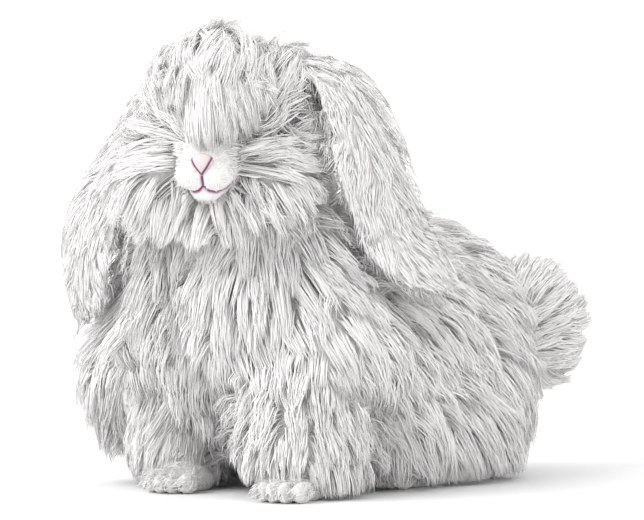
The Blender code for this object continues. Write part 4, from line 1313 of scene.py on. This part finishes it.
def tuft_mesh(name, path, across, width, thick, patch, shade, soft, rng):
    """One mesh of many tufts, each a tapered body of three sides, shaded as the soft coat that they make."""
    count, stops = path.shape[:2]
    rings = stops - 1
    along = FINE_RINGS if stops == len(FINE_RINGS.shares) else PLAIN_RINGS
    ahead = unit(np.gradient(path, axis=1))
    beside = np.repeat(across[:, None], stops, axis=1)
    up = unit(np.cross(ahead, beside))
    roll = rng.uniform(-0.8, 0.8, count)[:, None, None]
    beside, up = beside * np.cos(roll) + up * np.sin(roll), up * np.cos(roll) - beside * np.sin(roll)
    taper = np.array(along.widths)[None, :, None]
    wide = beside[:, :rings] * width[:, None, None] * taper
    high = up[:, :rings] * thick[:, None, None] * taper
    around = np.stack([wide - high * 0.5, high, -wide - high * 0.5], axis=2)
    ring = path[:, :rings, None] + around
    corners = np.concatenate([ring.reshape(count, rings * 3, 3), path[:, -1:]], axis=1)
    each = rings * 3 + 1
    index = (tuft_faces(rings)[None] + (np.arange(count) * each)[:, None, None]).reshape(-1)
    mesh = bpy.data.meshes.new(name)
    mesh.vertices.add(count * each)
    mesh.vertices.foreach_set("co", corners.astype(np.float32).ravel())
    mesh.loops.add(len(index))
    mesh.loops.foreach_set("vertex_index", index.astype(np.int32))
    mesh.polygons.add(len(index) // 3)
    mesh.polygons.foreach_set("loop_start", np.arange(0, len(index), 3, dtype=np.int32))
    mesh.update(calc_edges=True)
    mesh.shade_smooth()
    first, last_soft = soft
    share = np.append(np.repeat(along.shares[:-1], 3), 1.0)
    fluff = unit(first[:, None] * (1 - share)[None, :, None] + last_soft[:, None] * share[None, :, None])
    own = unit(np.concatenate([around.reshape(count, rings * 3, 3), ahead[:, -1:]], axis=1))
    facing = np.clip(0.5 + 0.5 * (own * fluff).sum(axis=2, keepdims=True), 0, 1)
    mesh.normals_split_custom_set_from_vertices(unit(own + fluff * (2.4 * facing)).reshape(-1, 3))
    set_attribute(mesh, "along", np.tile(share, count))
    set_attribute(mesh, "lock", np.repeat(shade.lock, each))
    # Painted shade in the folds, along each tuft.
    painted_fold_lightness = np.concatenate([np.repeat(shade.open[:, :-1], 3, axis=1), shade.open[:, -1:]], axis=1)
    set_attribute(mesh, "open", painted_fold_lightness.ravel())
    spot = np.append(np.tile([0.0, 0.5, 1.0], rings), 0.5)
    u = patch[:, None, 0] + 0.003 * (spot - 0.5)[None]
    v = patch[:, None, 1] + 0.003 * (share - 0.5)[None]
    uv = np.stack([u, v], axis=2).reshape(-1, 2)[index]
    mesh.uv_layers.new(name="OFBake").data.foreach_set("uv", uv.astype(np.float32).ravel())
    return add_object(name, mesh)


def grow_coat(skin, shells):
    """Every region's coat. The big regions are split in two, so that no piece is too heavy."""
    rng = np.random.default_rng(SEED)
    mesh = skin.data
    mesh.calc_loop_triangles()
    flat = np.empty(len(mesh.loop_triangles) * 3, np.int32)
    mesh.loop_triangles.foreach_get("vertices", flat)
    triangles = flat.reshape(-1, 3)
    points, normals = vertex_rows(mesh, "co"), vertex_rows(mesh, "normal")
    middles = points[triangles].mean(axis=1)
    regions = region_of(middles)
    skin_tree = BVHTree.FromObject(skin, bpy.context.evaluated_depsgraph_get())
    forehead = on_forehead(middles) & (regions == "head")
    pieces = []
    for region, coat in COATS.items():
        lock = region == "forelock"
        own = triangles[forehead if lock else regions == region]
        tree = shells.get("head" if lock else region) or shells["trunk"]
        roots, root_normals = scatter(points, normals, own, LOCK_TRIALS, rng)
        keep = spaced(roots, coat.spacing * (0.45 + 0.55 * fullness(roots, region)))
        roots, root_normals = roots[keep], root_normals[keep]
        if lock:
            guides = guide_forelock(roots, root_normals, tree, skin_tree, rng)
        else:
            guides = guide_locks(roots, root_normals, region, coat, tree, rng)
        roots, root_normals = scatter(points, normals, own, coat.count, rng)
        grows = ~bare_places(roots, region)
        roots, root_normals = roots[grows], root_normals[grows]
        full = fullness(roots, region)
        path, across, shade, out, long_enough = tufts(
            guides, roots, root_normals, full, region, coat, skin_tree, rng
        )
        width = coat.half_width * (0.50 + 0.50 * full) * rng.uniform(0.7, 1.25, len(roots))
        thick = coat.half_thick * (0.50 + 0.50 * full) * rng.uniform(0.8, 1.2, len(roots))
        patch = skin_patch(roots, root_normals)
        on_left = (to_head(roots)[:, 0] > 0) if region == "head" else roots[:, 0] > 0
        halves = (("_left", on_left & long_enough), ("_right", ~on_left & long_enough))
        if len(roots) < WHOLE_PIECE:
            halves = (("", long_enough),)
        for word, half in halves:
            pieces.append(tuft_mesh(
                "wool_" + region + word, path[half], across[half], width[half], thick[half],
                patch[half], Shade(*[kind[half] for kind in shade]), (root_normals[half], out[half]), rng,
            ))
    return pieces


# ---- Eyes, nose and claws

def eye(side, word, material):
    """An eyeball with its iris and pupil towards the side."""
    body = bmesh.new()
    bmesh.ops.create_uvsphere(body, u_segments=40, v_segments=24, radius=EYE_RADIUS)
    piece = mesh_object("eyeball_" + word, body)
    points = vertex_rows(piece.data, "co")
    facing = (points @ unit(np.array(on_side(GAZE, side)))) / EYE_RADIUS
    bulge = CORNEA_BULGE * smooth_step(0.72, 0.98, facing)
    set_attribute(piece.data, "pupil", smooth_step(*PUPIL_EDGE, facing))
    set_points(piece.data, points + unit(points) * bulge[:, None])
    piece.data.transform(HEAD @ Matrix.Translation(Vector(on_side(EYE_PLACE, side))))
    return finish_piece(piece, material)


def lids(side, word, material):
    """The upper and lower lid as one almond-shaped rim of skin round the eye."""
    centre = Vector(on_side(EYE_PLACE, side))
    gaze = Vector(on_side(GAZE, side)).normalized()
    along = Vector((0.35 * side, 1.0, 0.10)).normalized()
    along = (along - gaze * along.dot(gaze)).normalized()
    up = gaze.cross(along) * side
    if up.z < 0:
        up = -up
    rings = []
    for i in range(40):
        turn = math.tau * i / 40
        wide, tall = LID_OPENING[0] * math.cos(turn), LID_OPENING[1] * math.sin(turn)
        depth = math.sqrt(max(EYE_RADIUS ** 2 - wide ** 2 - tall ** 2, 0.0)) + 0.0002
        middle = centre + along * wide + up * tall + gaze * depth
        outward = (along * wide + up * tall).normalized()
        lift = (middle - centre).normalized()
        thick = UPPER_LID_THICK if tall > 0 else LOWER_LID_THICK
        abouts = [math.tau * k / 10 for k in range(10)]
        rings.append([
            HEAD @ (middle + outward * thick * 1.5 * math.cos(a) + lift * thick * math.sin(a)) for a in abouts
        ])
    body = bmesh.new()
    corners = [[body.verts.new(corner) for corner in ring] for ring in rings]
    for ring, after in zip(corners, corners[1:] + corners[:1]):
        for k in range(10):
            body.faces.new((ring[k], ring[(k + 1) % 10], after[(k + 1) % 10], after[k]))
    bmesh.ops.recalc_face_normals(body, faces=body.faces)
    return finish_piece(mesh_object("lids_" + word, body), material)


def nose(material):
    """The nose pad, a soft V with a slanting nostril slit on each side that runs down into the lip's cleft."""
    body = bmesh.new()
    bmesh.ops.create_uvsphere(body, u_segments=96, v_segments=64, radius=1)
    piece = mesh_object("nose_pad", body)
    points = vertex_rows(piece.data, "co") * np.array(NOSE_REACH)
    points[:, 0] *= 0.50 + 0.50 * smooth_step(-0.0062, 0.0030, points[:, 2])
    slit, _ = beside_line(np.stack([np.abs(points[:, 0]), points[:, 2]], axis=1), NOSTRIL_LINE)
    in_front = points[:, 1] < 0.001
    points[:, 1] += NOSTRIL_DEPTH * (np.exp(-(slit / NOSTRIL_WIDTH) ** 2) * in_front)
    set_points(piece.data, points + np.array(NOSE_PLACE))
    set_attribute(piece.data, "lip", np.clip(np.exp(-(slit / NOSTRIL_LINE_WIDTH) ** 2) * 1.3, 0, 1) * in_front)
    piece.data.transform(HEAD)
    return finish_piece(piece, material)


def claws(material):
    """Small blunt claws that show between the fur at the toes' ends."""
    body = []
    turns = [math.tau * k / 10 for k in range(10)]
    for placed, back, reach, step in toed_feet():
        for across, along in toe_places(back, step):
            root = Vector((across, along - reach[1] + 0.0022, 0.0062))
            rings = []
            for share in (0, 0.4, 0.75, 0.95):
                middle = root + Vector((0, -0.0048 * share, -0.0034 * share ** 1.5))
                wide = 0.0008 * (1 - share) ** 0.6 + 0.0001
                rings.append([
                    placed @ (middle + Vector((wide * math.cos(a), 0, wide * 1.3 * math.sin(a)))) for a in turns
                ])
            add_rings(body, rings)
    return finish_piece(joined("claws", body), material)


# ---- Stage

def stage():
    """A plain pale floor and soft studio light."""
    body = bmesh.new()
    bmesh.ops.create_circle(body, cap_ends=True, segments=64, radius=30)
    floor = mesh_object("floor", body)
    floor.data.materials.append(plain_material("matt_white_paper", FLOOR_PALE, 0.9))

    world = bpy.data.worlds.new("studio")
    world.use_nodes = True
    world.node_tree.nodes["Background"].inputs["Color"].default_value = (1, 1, 1, 1)
    world.node_tree.nodes["Background"].inputs["Strength"].default_value = STUDIO_LIGHT
    bpy.context.scene.world = world
    lamp = bpy.data.lights.new("key", "SUN")
    lamp.energy = KEY_LIGHT
    lamp.angle = KEY_SPREAD
    holder = add_object("key", lamp)
    holder.rotation_mode = "QUATERNION"
    holder.rotation_quaternion = KEY_WAY.to_track_quat("-Z", "Y")
    bpy.context.scene.view_settings.view_transform = "Standard"


def camera(moved):
    """The picture's camera, to the rabbit's left and nearly level."""
    level = math.cos(CAMERA_RISE)
    back = Vector((math.sin(CAMERA_TURN) * level, -math.cos(CAMERA_TURN) * level, math.sin(CAMERA_RISE)))
    lens = bpy.data.cameras.new("camera")
    lens.sensor_width = SENSOR_WIDTH
    lens.lens = PIXELS_PER_MM * 1000 * CAMERA_DISTANCE * SENSOR_WIDTH / PICTURE_WIDTH
    lens.shift_x = -(AIM_PIXEL - PICTURE_WIDTH / 2) / PICTURE_WIDTH
    lens.clip_end = 100
    holder = add_object("camera", lens)
    holder.location = AIM + moved + back * CAMERA_DISTANCE
    holder.rotation_mode = "QUATERNION"
    holder.rotation_quaternion = (-back).to_track_quat("-Z", "Y")
    bpy.context.scene.camera = holder


def main():
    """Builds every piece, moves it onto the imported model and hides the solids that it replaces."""
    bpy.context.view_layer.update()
    low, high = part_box("eye_left")
    moved = (low + high) / 2 - HEAD @ EYE_PLACE

    wool = angora_wool()
    skin = flesh()
    press_eye_hollows(skin)
    refine(skin)
    draw_lips(skin)
    part_toes(skin)
    finish_piece(skin, short_fur())
    coat = grow_coat(skin, coat_shells())
    for piece in coat:
        piece.data.materials.append(wool)
    eyes, rims = [], []
    eye_material, lid_material = wet_eye(), lid_skin()
    for word, side in SIDES.items():
        eyes.append(eye(side, word, eye_material))
        rims.append(lids(side, word, lid_material))
    nose_pad = nose(nose_leather())
    nails = claws(plain_material("claw_horn", CLAW_HORN, 0.35))

    for piece in (skin, nose_pad, nails, *coat, *eyes, *rims):
        piece.data.transform(Matrix.Translation(moved))
        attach(piece, "root")
    flesh_nodes = [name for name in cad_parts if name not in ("nose", "eye_left", "eye_right")]
    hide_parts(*flesh_nodes)
    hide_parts("nose")
    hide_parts("eye_left")
    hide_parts("eye_right")
    stage()
    camera(moved)


main()
